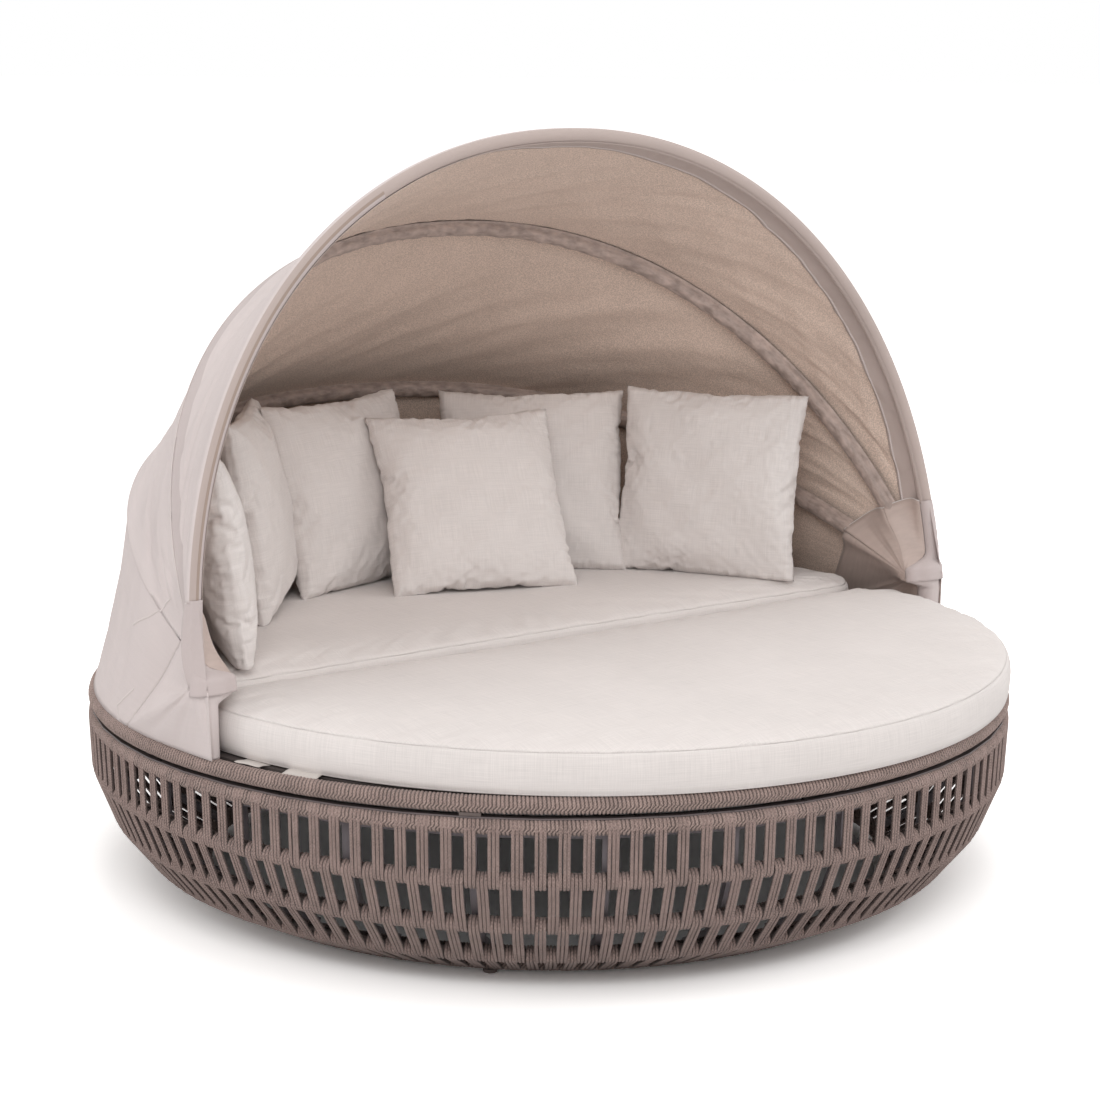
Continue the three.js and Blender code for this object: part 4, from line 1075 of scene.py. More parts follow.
def on_cloth(shape, path, mirrored):
    """Line over a cloth through row and share places, with the directions out of the cloth along it."""
    marks = np.linspace(0, len(path) - 1, SEAM_STEPS)
    rows, shares = (np.interp(marks, np.arange(len(path)), part) for part in zip(*path))
    line = []
    out = []
    for row, share in zip(rows, shares):
        here = 1 - share if mirrored else share
        cloth = shape(np.array([here, here + 0.002]))
        spots = [[np.interp(row + step, np.arange(len(cloth)), cloth[:, side, axis]) for axis in range(3)]
                 for side, step in ((0, 0), (1, 0), (0, 0.5), (0, -0.5))]
        centre, beside, below, above = np.array(spots)
        way = np.cross(beside - centre, below - above)
        line.append(centre)
        out.append(way * np.sign(way @ (centre * np.array([1, 1, 0]))) / np.linalg.norm(way))
    return np.array(line), np.array(out)


def seams():
    """Seams that show on the outside of the canopy."""
    top = CLOTH_TOP + SEAM_LIFT
    _, out = middle_hoop.spots(cloth_shares)
    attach(seam_cord("middle_ridge_seam", middle_hoop.round(cloth_shares, 0, top), out), "middle_bow")
    skirt_cuts = (lambda place: skirt_rows(place, CLOTH_THICKNESS + SEAM_LIFT)), fold_with_seat
    cuts = (
        (lambda place: panel_rows("rear", place, top), lambda piece: fold_with(piece, "middle", "rear"),
         PANEL_SEAM_SHARES),
        (*skirt_cuts, SKIRT_SEAM_SHARES),
        (*skirt_cuts, SKIRT_PLEAT_SHARES),
    )
    for side, end in (("left", CLOTH_END_SHARE), ("right", 1 - CLOTH_END_SHARE)):
        share = np.array([end])
        line = resampled(panel_rows("front", share, top)[len(WRAP_DEGREES) - 1:, 0], SEAM_STEPS)
        _, _, out = span_frame(front_hoop, middle_hoop, share)
        end_seam = seam_cord(f"panel_end_seam_{side}", line, np.repeat(out, len(line), axis=0))
        fold_with(end_seam, "front", "middle")
        for index, (shape, fold, path) in enumerate(cuts):
            fold(seam_cord(f"outer_seam_{side}_{index + 1}", *on_cloth(shape, path, side == "right")))


# Facing inside the front hoop: distance back from the hoop and height over its centre line
FACING_WIDTH = 0.066
FACING_ROWS = (
    (-0.003, -0.0153),
    (0.006, -0.0144),
    (0.012, -0.0096),
    (0.017, -0.0025),
    (0.0205, 0.0060),
    (0.0235, 0.0100),
    (0.030, 0.0104),
    (0.040, 0.0102),
    (0.052, 0.0103),
    (0.060, 0.0106),
    (FACING_WIDTH, 0.0112),
)
FACING_START = 0.022
FACING_THICKNESS = 0.0008
FACING_LOOSE = 0.0014
FACING_LOOSE_WIDTH = 0.064
FACING_HUG = -0.0005
FACING_PUFF = -0.0012
FACING_PUCKERS = ((0.045, 0, 1.0), (0.028, 0, 0.7), (0.11, 0, 0.8))
FACING_EDGE_WAVES = ((0.09, 0, 0.0005), (0.24, 0, 0.0009))


def facing():
    """Strip of outer cloth that is turned in round the front hoop and stitched to the lining."""
    start, across, out = span_frame(front_hoop, middle_hoop, cloth_shares)
    span = np.linalg.norm(across, axis=-1)
    first = cloth_shares * front_hoop.length
    pucker = ripples(71, first, 0 * first, FACING_PUCKERS)
    wavy = ripples(73, first, 0 * first, FACING_EDGE_WAVES)
    grids = []
    for lift in (0, -FACING_THICKNESS):
        rows = []
        for back, height in FACING_ROWS:
            share = (back + wavy * (back / FACING_WIDTH) ** 2) / span
            loose = math.sin(min(back / FACING_LOOSE_WIDTH, 1) * math.pi) ** 2
            level = height + lift + FACING_LOOSE * pucker * loose
            if back > FACING_START:
                sag = 4 * share * (1 - share) * CLOTH_SAG_SHARE * span
                wave = wrinkle(PANELS["front"][2], cloth_shares, share, front_hoop, PANEL_WIDTH)
                level = level + FACING_PUFF - sag + wave
            else:
                level = level + FACING_HUG
            rows.append(start + unit(across) * (share * span)[:, None] + out * level[:, None])
        grids.append(np.stack(rows))
    # The facing takes the darker copy of the outer cloth as painted shade
    piece = cloth_solid("front_facing", grids, [canopy_edge_painted_shade] * 2)
    fold_with(piece, "front", "middle")
    fold_with(seam_cord("facing_seam", grids[1][-2], -out, TRIM_WIDTH), "front", "middle")


# Sleeve under a hoop: share of its half width towards the front and share of its depth below the cloth
SLEEVE_SHAPE_SHARES = (
    (1.22, 0.26),
    (1.08, 0.16),
    (0.97, -0.04),
    (0.90, -0.35),
    (0.70, -0.78),
    (0.38, -0.98),
    (0.0, -1.04),
    (-0.38, -0.98),
    (-0.70, -0.78),
    (-0.90, -0.35),
    (-0.97, -0.04),
    (-1.08, 0.16),
    (-1.22, 0.26),
)
SLEEVE_HALF_WIDTH = 0.0185
SLEEVE_DEPTH = 0.0158
SLEEVE_THICKNESS = 0.0009
SLEEVE_END_RADIUS = 0.062
SLEEVE_TAPER_SHARE = 0.006
SLEEVE_CALM_SHARE = 0.03
SLEEVE_TIGHTNESS = 0.0014
SLEEVE_RIPPLES = ((0.031, 0.8, 0.0007), (0.083, 1.2, 0.0012))
SLEEVE_CREASES = ((0.046, 1.4, 0.0052), (0.071, -2.0, 0.0046), (0.029, 0.7, 0.0024))
SLIM_HALF_WIDTH = 0.0142
SLIM_DEPTH = 0.0142
COVER_RIMS = {"front": 0.164, "middle": 0.172, "rear": 0.215}


def sleeve(name, seed):
    """Satin tunnel that holds a hoop under the cloth, crinkled along its length."""
    hoop = hoops[name]
    end_share = hoop.share_at(SLEEVE_END_RADIUS)
    shares = np.linspace(end_share, 1 - end_share, CLOTH_COLUMNS * 3)
    beyond = np.minimum(shares, 1 - shares) - hoop.share_at(COVER_RIMS[name])
    # Under the covers the sleeve lies close round the tube
    full = smooth(beyond / SLEEVE_TAPER_SHARE + 1)
    half_width = SLIM_HALF_WIDTH + (SLEEVE_HALF_WIDTH - SLIM_HALF_WIDTH) * full
    whole_depth = SLIM_DEPTH + (SLEEVE_DEPTH - SLIM_DEPTH) * full
    centres, outward = hoop.spots(shares)
    first = shares * hoop.length
    grids = []
    for lift in (-SLEEVE_THICKNESS, 0):
        rows = []
        for side, depth in SLEEVE_SHAPE_SHARES:
            place = side * 0.02 + 0 * first
            folds = ripples(seed, first, place, SLEEVE_RIPPLES)
            folds = folds + creases(seed + 3, first, place, SLEEVE_CREASES) - SLEEVE_TIGHTNESS
            loose = folds * (1 - abs(side) / 1.3) * smooth(beyond / SLEEVE_CALM_SHARE)
            sideways = side * half_width * (1 + 0.6 * loose / SLEEVE_HALF_WIDTH)
            level = depth * (whole_depth + lift) * (1 + loose / SLEEVE_DEPTH)
            rows.append(centres + hoop.forward * sideways[:, None] + outward * level[:, None])
        grids.append(np.stack(rows))
    piece = cloth_solid(f"{name}_hoop_sleeve", grids, [satin] * 2)
    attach(piece, f"{name}_bow")


# Skirt from the rear hoop to its hem on the seat ring
HEM_RADIUS = 0.9545
HEM_END_SHARE = 0.085
HEM_START = math.asin(PIVOT[1] / front_hoop.half_width)
HEM_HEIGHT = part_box("seat_ring")[1].z + 0.0006
SKIRT_SAG = 0.008
SKIRT_TUCK = 0.0004
SKIRT_TUCK_DEGREES = 16
SKIRT_LENGTH = 2.3
SKIRT_DROP = 0.3
SKIRT_PLEATS = 6
SKIRT_PLEAT_DEPTH = 0.005
SKIRT_FOLDS = ((0.17, 0.3, 0.0022), (0.09, 0.5, 0.0012))
HEM_FOLDS = ((0.062, 0, 0.0024), (0.037, 0, 0.0013))
HEM_FOLD_SHARE = 1.6


def hem_points(shares, lift):
    turn = HEM_START + (1 - np.asarray(shares)) * (math.pi - 2 * HEM_START)
    radius = HEM_RADIUS + lift
    return np.stack([radius * np.cos(turn), radius * np.sin(turn), HEM_HEIGHT + 0 * turn], axis=-1)


def skirt_rows(shares, lift, folds=True):
    """Rows in shallow folds from the rear hoop, where the cloth is tucked under the panel, to the hem."""
    progress = (shares - CLOTH_END_SHARE) / (1 - 2 * CLOTH_END_SHARE)
    start = rear_hoop.round(shares, SKIRT_TUCK_DEGREES, CLOTH_LIFT - CLOTH_THICKNESS - SKIRT_TUCK + lift)
    end = hem_points(HEM_END_SHARE + progress * (1 - 2 * HEM_END_SHARE), lift)
    radial = unit(end * np.array([1, 1, 0]))
    length = progress * SKIRT_LENGTH
    pleats = SKIRT_PLEAT_DEPTH * np.sin(progress * SKIRT_PLEATS * TURN) - SKIRT_SAG
    hem = ripples(87, length, 0 * length, HEM_FOLDS) * HEM_FOLD_SHARE
    rows = []
    for share in np.linspace(0, 1, CLOTH_ROWS):
        waves = pleats + ripples(83, length, share * SKIRT_DROP, SKIRT_FOLDS) if folds else pleats
        level = math.sin(share * math.pi) * waves + hem * share ** 3 * (1 - share) ** 0.5
        rows.append(start * (1 - share) + end * share + radial * level[:, None])
    return np.stack(rows)


def skirt():
    grids = skirt_rows(cloth_shares, CLOTH_THICKNESS), skirt_rows(cloth_shares, 0)
    piece = cloth_solid("back_skirt_cloth", grids, [canopy, lining])
    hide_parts("back_skirt")
    fold_with_seat(piece)


# Fan patches over the pivots. The last number is the end of the rim at the canopy's front edge, where the
# cloth reaches forward.
PATCH_SECTORS = (
    ("front", ("front", "middle"), 101, 0),
    ("rear", ("middle", "rear"), 103, None),
    ("lower", None, 107, 1),
)
PATCH_BULGE = 0.0145
PATCH_FRONT_REACH = 0.033
PATCH_FRONT_TURN = 0.020
PATCH_FRONT_COLUMNS = 7
PATCH_CROWN = 0.009
PATCH_COLUMNS = 46
PATCH_ROWS = 14
PATCH_HUB_SHARE = 0.985
PATCH_RIM_LIFT = 0.0012
PATCH_FOLDS = ((0.062, 0.5, 0.0040), (0.034, 0.3, 0.0020))
HEM_STEPS = 14
HEM_FLARE = 0.0095
HEM_FRONT_SHARE = 0.0100


def patch_rims(lift):
    """The lower edges of the cloths round the left pivot: front sector, rear sector and lower sector."""
    share = np.array([CLOTH_END_SHARE])
    skirt_edge = skirt_rows(share, lift - CLOTH_LIFT)[:, 0]
    hem = hem_points(np.linspace(HEM_END_SHARE, -HEM_FRONT_SHARE, HEM_STEPS), lift - CLOTH_LIFT)
    hem[:, :2] *= 1 + HEM_FLARE * np.linspace(0, 1, HEM_STEPS)[:, None] ** 4
    return {
        "front": panel_rows("front", share, lift + PATCH_RIM_LIFT)[3:, 0],
        "rear": panel_rows("rear", share, lift)[:, 0],
        "lower": np.concatenate([skirt_edge, hem[1:]]),
    }


def patch_grid(rim, lift, seed, front_end):
    """Rows from the rim of a sector in to the hub over the pivot, with folds that run to the hub."""
    rim = resampled(rim, PATCH_COLUMNS)
    offset = rim - PIVOT
    turn = np.unwrap(np.arctan2(offset[:, 2], offset[:, 1]))
    near_front = np.zeros(PATCH_COLUMNS)
    if front_end is not None:
        column = np.arange(PATCH_COLUMNS)
        near_front = near(column[::-1] if front_end else column, PATCH_FRONT_COLUMNS)
    reach = front_hoop.half_width + PATCH_BULGE + lift - CLOTH_LIFT
    hub = PIVOT + np.stack([PATCH_FRONT_TURN * near_front - reach, -PATCH_FRONT_REACH * near_front,
                            0 * near_front], axis=1)
    ends = np.sin(np.linspace(0, math.pi, PATCH_COLUMNS)) ** 0.5
    rows = []
    for share in np.linspace(0, PATCH_HUB_SHARE, PATCH_ROWS):
        points = rim * (1 - share) + hub * share
        folds = ripples(seed, turn * 0.12, share * 0.02 + 0 * turn, PATCH_FOLDS)
        points[:, 0] -= 4 * share * (1 - share) * (PATCH_CROWN + folds * ends) * (1 - near_front)
        rows.append(points)
    return np.stack(rows)


def for_side(grids, side, turned):
    """Left grids as they are or mirrored, with the order of their columns turned where asked."""
    way = np.array([1 if side == "left" else -1, 1, 1])
    return [(grid[:, ::-1] if turned else grid) * way for grid in grids]


def patches():
    lifts = (CLOTH_TOP, CLOTH_LIFT)
    rims = [patch_rims(lift) for lift in lifts]
    for side in ("left", "right"):
        for sector, folds, seed, front_end in PATCH_SECTORS:
            grids = [patch_grid(rim[sector], lift, seed, front_end) for rim, lift in zip(rims, lifts)]
            grids = for_side(grids, side, side == "left")
            # The front sector takes the darker copy of the canopy cloth as painted shade
            cloths = [canopy_double_painted_shade if sector == "front" else canopy, satin]
            name = f"pivot_patch_{side}_{sector}"
            piece = cloth_solid(name, grids, cloths)
            if folds:
                fold_with(piece, *folds)
            else:
                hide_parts(f"pivot_patch_{side}")
                fold_with_seat(piece)


# Covers over the hoop ends inside the canopy: depth of the hub, how far the cloth stands off the tubes
HUB_DEPTH = 0.8705
HUB_START = 0.014
HUB_SPREAD = 0.017
HUB_WIDE_SPREAD = 0.046
HUB_LOWER_SPREAD = 0.008
HUB_BASE_HEIGHT = 0.512
HUB_STEP = 0.020
HUB_RADIUS = 0.003
TUBE_CLEARANCE = 0.0192
COVER_ARCH = 0.006
COVER_COLUMNS = 30
COVER_ROWS = 20
COVER_THICKNESS = 0.0013
COVER_FOLDS = ((0.060, 0.5, 0.0009), (0.031, 0.2, 0.0004))
RIM_SLEEVE_WIDTH = 0.0265
RIM_LINING_RISE = 0.0262
STACK_DEPTH = 0.0068
STACK_START_SHARE = 0.22
LOWER_COLUMNS = COVER_COLUMNS + 14
LOWER_ROWS = COVER_ROWS + 6
LOWER_JOIN_SHARE = 0.06
LOWER_TUCK = 0.006
LOWER_TUCK_DEPTH = 0.0018
LOWER_FOLDS = ((0.09, 0.4, 0.0010), (0.045, 0.3, 0.0004))
LOWER_HEM_STEPS = 16
LOWER_HEM_LIFT = 0.001
LOWER_HEM_END = 0.012
LOWER_HEM_HOLD = 0.05
BRACKET_INSIDE = 0.915
SKIRT_CLEARANCE = 0.010
HEM_INSIDE_RADIUS = 0.9505


def hub_share(radius, spread=HUB_SPREAD):
    return near(np.maximum(radius - HUB_START, 0), spread)


def inner_cover(first, second, seed, shift):
    """Cloth over the hoop ends between two hoops: rows from its rim in to the hub, left side."""
    fore, aft = hoops[first], hoops[second]
    share = np.linspace(0, 1, COVER_COLUMNS)
    lean = np.radians(fore.lean + (aft.lean - fore.lean) * share)
    rim = COVER_RIMS[first] + (COVER_RIMS[second] - COVER_RIMS[first]) * share
    rim += COVER_ARCH * np.sin(share * math.pi)
    span = rim * math.radians(aft.lean - fore.lean)
    over_sleeve = near(share * span, RIM_SLEEVE_WIDTH) + near((1 - share) * span, RIM_SLEEVE_WIDTH)
    # The middle hoop is the one beside which the rear hoop's leg lies when folded
    beside_middle = share if second == "middle" else 1 - share
    spread = HUB_SPREAD * (1 - share) + HUB_WIDE_SPREAD * share if first == "front" else HUB_WIDE_SPREAD
    rows = []
    for step in np.linspace(0, 1, COVER_ROWS):
        radius = rim * (1 - step) + HUB_RADIUS * step
        reach = fore.leg_reach(radius) * (1 - share) + aft.leg_reach(radius) * share - TUBE_CLEARANCE
        reach += RIM_LINING_RISE * np.maximum(1 - over_sleeve, 0) * (1 - step) ** 3
        reach -= STACK_DEPTH * smooth((beside_middle - 0.3) / 0.45) * smooth(step / STACK_START_SHARE)
        reach += (HUB_DEPTH - reach) * hub_share(radius, spread)
        folds = ripples(seed, share * span, step * 0.01 + 0 * share, COVER_FOLDS)
        reach += shift + folds * np.sin(share * math.pi) ** 0.6 * math.sin(step * math.pi) ** 0.5
        place = [-reach, PIVOT[1] + radius * np.sin(lean), PIVOT[2] + radius * np.cos(lean)]
        rows.append(np.stack(place, axis=-1))
    return np.stack(rows)


def lower_rim():
    """Rim of the lower cover: down inside the skirt, then along the seat ring to the bracket."""
    share = np.array([rear_hoop.share_at(COVER_RIMS["rear"])])
    on_skirt, outside = (skirt_rows(share, lift, False)[:, 0] for lift in (0, 0.01))
    hoop_room = CLOTH_LIFT + TUBE_CLEARANCE - SKIRT_CLEARANCE
    lift = -SKIRT_CLEARANCE - hoop_room * near(along(on_skirt), RIM_SLEEVE_WIDTH)
    edge = on_skirt + (outside - on_skirt) * (lift / 0.01)[:, None]
    back = np.linspace(edge[-1, 1], PIVOT[1] + LOWER_HEM_END, LOWER_HEM_STEPS)
    hold = smooth((back[0] - back) / (back[0] - PIVOT[1] - LOWER_HEM_HOLD))
    reach = np.sqrt(HEM_INSIDE_RADIUS ** 2 - back ** 2) * (1 - hold) + BRACKET_INSIDE * hold
    hem = np.stack([-reach, back, np.full(LOWER_HEM_STEPS, HEM_HEIGHT + LOWER_HEM_LIFT)], axis=-1)
    return resampled(np.concatenate([edge, hem[1:]]), LOWER_COLUMNS)


def lower_cover(shift):
    """Cloth from the rear hoop's end down to the seat and forward to the bracket, left side."""
    rim = lower_rim()
    radius = np.linalg.norm((rim - PIVOT)[:, 1:], axis=1)
    place = np.linspace(0, 1, LOWER_COLUMNS)
    leg = rear_hoop.leg_reach(HOOP_START) - TUBE_CLEARANCE
    base = BRACKET_INSIDE + (leg - BRACKET_INSIDE) * (1 - smooth(place / 0.35))
    joined = near(place, LOWER_JOIN_SHARE)
    rows = []
    for step in np.linspace(0, 1, LOWER_ROWS):
        step = 1 - (1 - step) ** 1.35
        here = rim * (1 - step) + PIVOT * step
        distance = radius * (1 - step)
        reach = -rim[:, 0] * (1 - step) + base * step
        reach += (rear_hoop.leg_reach(distance) - TUBE_CLEARANCE - reach) * joined
        gate = smooth((here[:, 2] - HUB_BASE_HEIGHT) / HUB_STEP)
        spread = HUB_WIDE_SPREAD + HUB_LOWER_SPREAD * (1 - joined)
        reach += (HUB_DEPTH - reach) * hub_share(distance, spread) * gate
        # The first column passes behind the rear cover's edge
        here[0] += rear_hoop.forward * LOWER_TUCK * (1 - step)
        reach[0] += LOWER_TUCK_DEPTH
        folds = ripples(139, place * 0.4, step * 0.02 + 0 * place, LOWER_FOLDS)
        calm = np.sin(place * math.pi) ** 0.6 * math.sin(step * math.pi) ** 0.5
        here[:, 0] = -(reach + shift + folds * calm)
        rows.append(here)
    return np.stack(rows)


# Front edges of the covers: how far they stand out in front of the hoop plane and the bracket
EDGE_STEPS = 26
EDGE_SQUARENESS = 0.78
EDGE_THIN_SHARE = 0.32
LEG_DEPTH = 0.0150
LEG_BACK = 0.004
LEG_INSIDE = 0.0150
LEG_OUTSIDE = 0.0122
LEG_BELOW = 0.014
LEG_HUB_DEPTH = 0.0335
LEG_ROWS = 40
LEG_WAVE = 0.0007
LEG_RIM_LIFT = 0.001
LEG_HUB_TUCK = 0.001
CUFF_DEPTH = 0.0290
CUFF_BACK = 0.010
CUFF_TOP = 0.548
CUFF_FOOT_LIFT = 0.0006
CUFF_FOOT_REACH = 0.9395
CUFF_BRACKET_TUCK = 0.001
CUFF_HUB_TUCK = 0.004
CUFF_OUTER_TUCK = 0.0015
CUFF_ROWS = 34
CUFF_FOLDS = ((0.032, 0, 0.0010), (0.02, 0, 0.0006))
CUFF_LID_BACK = 0.006
CUFF_LID = ((0.06, 0.0135), (0.45, 0.0120), (0.75, 0.0085), (0.93, 0.0040))
OUTER_HUB_REACH = 0.9640


def edge_section(inside, outside, depth, back, thin):
    """Round section of cloth from its outer side over the front to its inner side."""
    turn = np.linspace(0, math.pi, EDGE_STEPS)
    middle, half = (inside + outside) / 2, (outside - inside) / 2
    across = middle + half * np.sign(np.cos(turn)) * np.abs(np.cos(turn)) ** EDGE_SQUARENESS
    ahead = depth * np.sin(turn) ** EDGE_SQUARENESS
    ahead = ahead * (1 - thin * smooth((turn - math.pi / 2) / (math.pi / 5)))
    return np.concatenate([[outside], across, [inside]]), np.concatenate([[-back], ahead, [-back]])


def leg_cover(shift):
    """Cloth round the front of the front hoop's leg, from the canopy's edge down to the pivot."""
    rim = COVER_RIMS["front"] + LEG_RIM_LIFT
    rows = []
    for step in np.linspace(0, 1, LEG_ROWS):
        radius = rim * (1 - step) - LEG_BELOW * step
        hub = float(hub_share(abs(radius)))
        leg = float(front_hoop.leg_reach(max(radius, 0)))
        inside = leg - LEG_INSIDE + (HUB_DEPTH - LEG_HUB_TUCK - leg + LEG_INSIDE) * hub
        outside = leg + LEG_OUTSIDE + (OUTER_HUB_REACH - leg - LEG_OUTSIDE) * smooth(step * 1.1)
        depth = LEG_DEPTH + (LEG_HUB_DEPTH - LEG_DEPTH) * hub ** 2
        across, ahead = edge_section(inside - shift, outside + shift, depth + shift, LEG_BACK,
                                     EDGE_THIN_SHARE * hub)
        wave = LEG_WAVE * np.sin(ahead * 300 + step * 40) * np.sin(step * math.pi)
        point = PIVOT + radius * front_hoop.up + np.outer(ahead + wave, front_hoop.forward)
        point[:, 0] = -across
        rows.append(point)
    return np.stack(rows)


def cuff(shift):
    """Cloth round the front of the bracket, from a domed lid over the pivot down to the seat."""
    rows = []
    for step in np.linspace(0, 1, CUFF_ROWS):
        height = CUFF_TOP * (1 - step) + (HEM_HEIGHT + CUFF_FOOT_LIFT) * step
        gate = float(smooth((height - HUB_BASE_HEIGHT) / HUB_STEP))
        inside = BRACKET_INSIDE - CUFF_BRACKET_TUCK + (HUB_DEPTH + CUFF_HUB_TUCK - BRACKET_INSIDE) * gate
        fall = max(PIVOT[2] - height, 0) / (PIVOT[2] - HEM_HEIGHT)
        outside = OUTER_HUB_REACH - CUFF_OUTER_TUCK - (OUTER_HUB_REACH - CUFF_FOOT_REACH) * fall
        across, ahead = edge_section(inside - shift, outside + shift, CUFF_DEPTH + shift, CUFF_BACK,
                                     EDGE_THIN_SHARE * gate)
        ahead = ahead + 0.8 * ripples(211, across * 0.8, 0 * across, CUFF_FOLDS) * math.sin(step * math.pi)
        rows.append(np.stack([-across, PIVOT[1] - ahead, np.full(len(across), height)], axis=-1))
    middle = np.array([rows[0][:, 0].mean(), PIVOT[1] + CUFF_LID_BACK, CUFF_TOP])
    lid = [middle + (rows[0] - middle) * share + np.array([0, 0, rise + shift]) for share, rise in CUFF_LID]
    return np.stack(lid + rows)


# Pivot covers: shape of the left one, cloth, the solid that it lies on, the hoops between which it lies,
# and whether its columns run the other way
PIVOT_COVERS = {
    "cover_front": (lambda shift: inner_cover("front", "middle", 131, shift), satin_cover_painted_light, "middle_hoop",
                    ("front", "middle"), False),
    "cover_rear": (lambda shift: inner_cover("middle", "rear", 137, shift), satin_cover_painted_light, "rear_hoop",
                   ("middle", "rear"), False),
    "cover_lower": (lower_cover, satin_cover_painted_light, "seat_ring", None, False),
    # The leg cover takes the darker copy of the canopy cloth as painted shade
    "leg_cover": (leg_cover, canopy_double_painted_shade, "front_hoop", None, True),
    "cuff": (cuff, canopy, "seat_ring", None, True),
}


def pivot_covers():
    for side, flip in (("left", 1), ("right", -1)):
        for kind, (shape, cloth, rest, folds, turned) in PIVOT_COVERS.items():
            grids = for_side([shape(0.0), shape(COVER_THICKNESS)], side, (side == "left") == turned)
            piece = cloth_solid(f"pivot_{kind}_{side}", grids, [cloth] * 2)
            if kind == "cover_lower":
                fold_with_seat(piece)
            elif folds:
                fold_with(piece, *folds)
                line = grids[1][0]
                inward = np.tile([float(flip), 0, 0], (len(line), 1))
                trim = seam_cord(f"pivot_{kind}_trim_{side}", line, inward, TRIM_WIDTH, pale_trim)
                fold_with(trim, *folds)
            else:
                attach(piece, "front_bow" if kind == "leg_cover" else "seat")


def build_canopy():
    build_panel("front", [canopy, lining, canopy_double_painted_shade, canopy_edge_painted_shade, binding])
    build_panel("rear", [canopy, lining])
    facing()
    sleeve("middle", 61)
    sleeve("rear", 67)
    skirt()
    patches()
    pivot_covers()
    seams()


# Webbing straps that hold the front cushion: angle round the seat in degrees, radius of the outer end
# and width
STRAPS = ((-162.9, 0.9455, 0.062), (-155.4, 0.9475, 0.076))
STRAP_LENGTH = 0.085
STRAP_FACES = (0.0017, 0.0003)
STRAP_ARCH = 0.0034
STRAP_WAVE = 0.0005
STRAP_COLUMNS = 13
STRAP_ROWS = 17


def build_straps():
    deck_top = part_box("deck_front")[1].z
    side = np.linspace(-0.5, 0.5, STRAP_COLUMNS)
    for index, (degrees, radius, width) in enumerate(STRAPS):
        turn = math.radians(degrees)
        out = np.array([math.cos(turn), math.sin(turn), 0])
        across = np.array([-math.sin(turn), math.cos(turn), 0])
        grids = []
        for thickness in STRAP_FACES:
            rows = []
            for step in np.linspace(0, 1, STRAP_ROWS):
                arch = STRAP_ARCH * math.sin(step * math.pi * 1.6 + index) ** 2 * smooth(step * 3)
                height = deck_top + thickness + arch + STRAP_WAVE * np.cos(side * 9 + index * 2)
                place = out * (radius - STRAP_LENGTH * (1 - step)) + np.outer(side * width, across)
                rows.append(place + np.outer(height, (0, 0, 1)))
            grids.append(np.stack(rows))
        name = f"cushion_strap_{index + 1}"
        piece = cloth_solid(name, grids, [strap_web] * 2)
        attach(piece, "seat")


# Carried-over solids
def finish_solids():
    kinds = {
        "rope": rope, "frame": paint, "hoop": paint, "track": track_paint, "hardware": steel,
        "nylon": nylon, "deck": deck_board, "linen": linen, "canopy": canopy, "patch": satin,
    }
    slots = {part["node"]: part["material_slot"] for part in frame["record"]["subparts"]}
    for node, solid in frame["nodes"].items():
        solid.data.materials.clear()
        solid.data.materials.append(kinds[slots[node]])


# Stage: the floor's colour as light bounces off it and as the camera sees it, and the light all round
FLOOR_COLOR = (0.8, 0.8, 0.8, 1)
FLOOR_SEEN_COLOR = (1.55, 1.55, 1.55, 1)
FLOOR_RINGS = (0.001, 0.70, 60.0)
FLOOR_STEPS = 96
AMBIENT_COLOR = (1.0, 0.985, 0.97, 1)
AMBIENT_LIGHT = 0.77
BACKDROP_COLOR = (1, 1, 1, 1)


def floor_finish(name, seen_color):
    """Pale floor that takes the object's shadow: the camera sees it in another colour than it bounces."""
    material = bpy.data.materials.new(name)
    nodes = Nodes(material)
    plain, seen = (nodes.node("BsdfDiffuse", {0: color}).outputs[0] for color in (FLOOR_COLOR, seen_color))
    rays = nodes.node("LightPath").outputs
    mix = nodes.node("MixShader", {0: rays["Is Camera Ray"], 1: plain, 2: seen})
    nodes.node("OutputMaterial", {0: mix.outputs[0]})
    return material


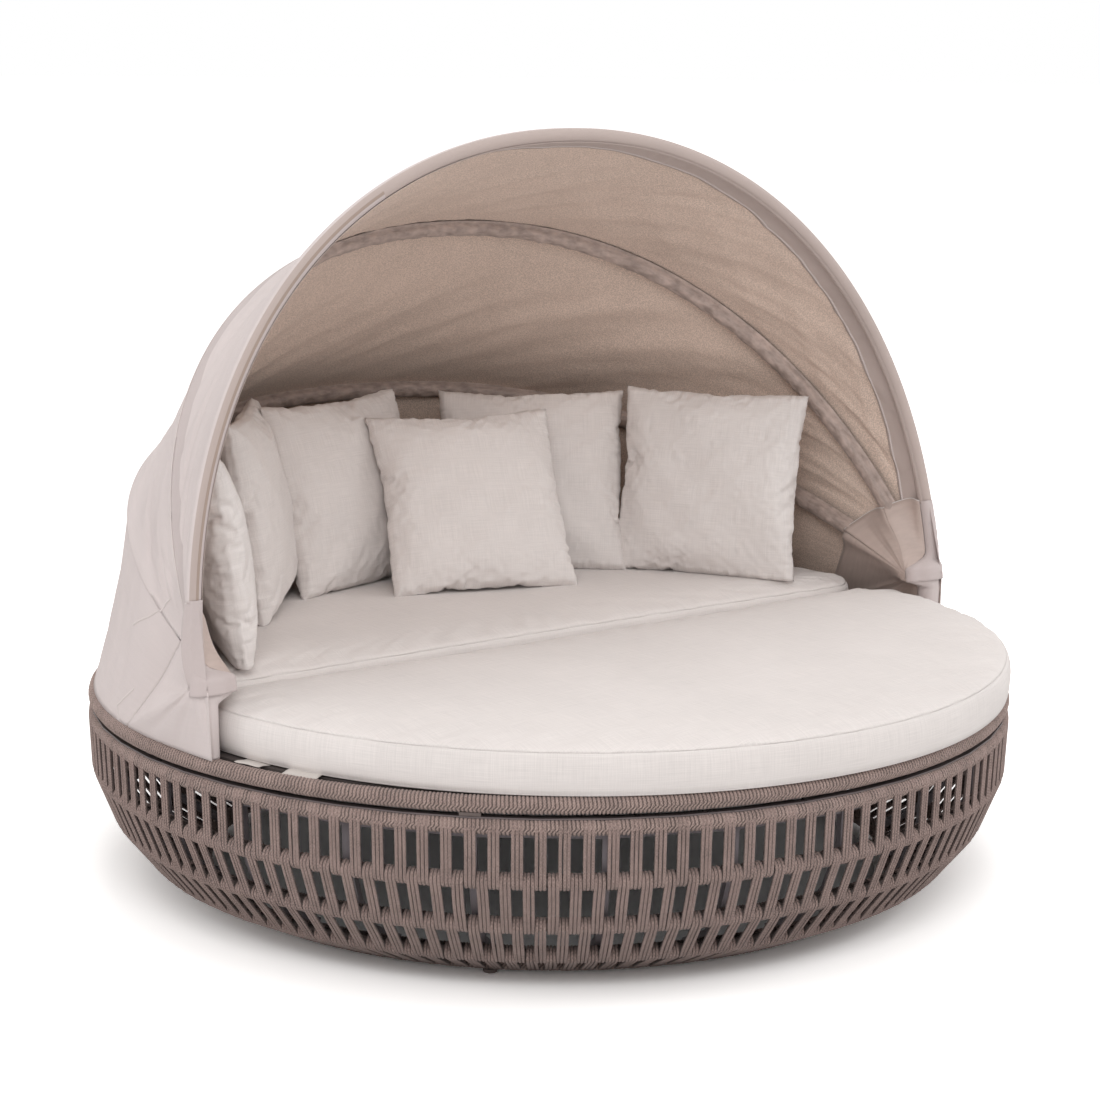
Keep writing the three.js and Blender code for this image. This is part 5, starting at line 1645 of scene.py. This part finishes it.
def build_stage():
    turns = np.arange(FLOOR_STEPS) / FLOOR_STEPS * TURN
    disc = np.stack([np.cos(turns), np.sin(turns), 0 * turns], axis=-1)
    rings = [radius * disc for radius in FLOOR_RINGS]
    faces, _ = grid_faces(len(rings), FLOOR_STEPS, False, True)
    # Painted shade: the disc under the bowl shows the camera its plain colour, darker than the brightened
    # floor round it
    kinds = (np.arange(len(faces)) // FLOOR_STEPS > 0).astype(int)
    finishes = [floor_finish("floor_under_seat_painted_shade", FLOOR_COLOR), floor_finish("floor", FLOOR_SEEN_COLOR)]
    make_piece("floor", np.stack(rings), faces, finishes, kinds=kinds)
    world = bpy.data.worlds.new("studio")
    bpy.context.scene.world = world
    nodes = Nodes(world)
    light = nodes.node("Background", {0: AMBIENT_COLOR, 1: AMBIENT_LIGHT}).outputs[0]
    backdrop = nodes.node("Background", {0: BACKDROP_COLOR, 1: 1.0}).outputs[0]
    rays = nodes.node("LightPath").outputs
    seen = nodes.math("MAXIMUM", rays["Is Camera Ray"], rays["Is Glossy Ray"])
    seen = nodes.math("MAXIMUM", seen, rays["Is Transmission Ray"])
    mix = nodes.node("MixShader", {0: seen, 1: light, 2: backdrop})
    nodes.node("OutputWorld", {0: mix.outputs[0]})


# Lights: place, the height over the seat's middle that they point at, size and power
LIGHTS = {
    "key": ((-3.4, -4.6, 4.6), 0.5, 3.4, 122),
    "fill": ((4.6, -3.0, 3.0), 0.6, 3.0, 58),
    "top": ((0.4, 0.6, 5.2), 0.5, 3.6, 40),
    "side": ((-5.2, 1.6, 2.6), 0.7, 2.6, 36),
}


def build_lights():
    for name, (place, height, size, power) in LIGHTS.items():
        data = bpy.data.lights.new(name, "AREA")
        data.shape = "DISK"
        data.size = size
        data.energy = power
        light = bpy.data.objects.new(name, data)
        bpy.context.scene.collection.objects.link(light)
        light.location = place
        light.rotation_mode = "QUATERNION"
        light.rotation_quaternion = (Vector((0, 0, height)) - Vector(place)).to_track_quat("-Z", "Y")


# Camera
CAMERA_PLACE = (-3.3985, -4.5760, 1.806)
CAMERA_TURN = math.radians(36.6)
CAMERA_DOWN = math.radians(11.26)
CAMERA_ROLL = 0.0081
CAMERA_LENS = 90.23
CAMERA_SENSOR = 36


def build_camera():
    data = bpy.data.cameras.new("camera")
    data.lens = CAMERA_LENS
    data.sensor_width = CAMERA_SENSOR
    camera = bpy.data.objects.new("camera", data)
    bpy.context.scene.collection.objects.link(camera)
    across, ahead = math.sin(CAMERA_TURN), math.cos(CAMERA_TURN)
    level_share = math.cos(CAMERA_DOWN)
    forward = Vector((across * level_share, ahead * level_share, -math.sin(CAMERA_DOWN)))
    level = Vector((ahead, -across, 0))
    right = level * math.cos(CAMERA_ROLL) + level.cross(forward) * math.sin(CAMERA_ROLL)
    rotation = Matrix((right, right.cross(forward), -forward)).transposed()
    camera.matrix_world = Matrix.Translation(CAMERA_PLACE) @ rotation.to_4x4()
    bpy.context.scene.camera = camera


bpy.context.scene.view_settings.view_transform = "Standard"
build_bowl()
build_cushion("front_cushion")
build_cushion("rear_cushion")
build_pillows()
build_canopy()
build_straps()
finish_solids()
build_stage()
build_lights()
build_camera()
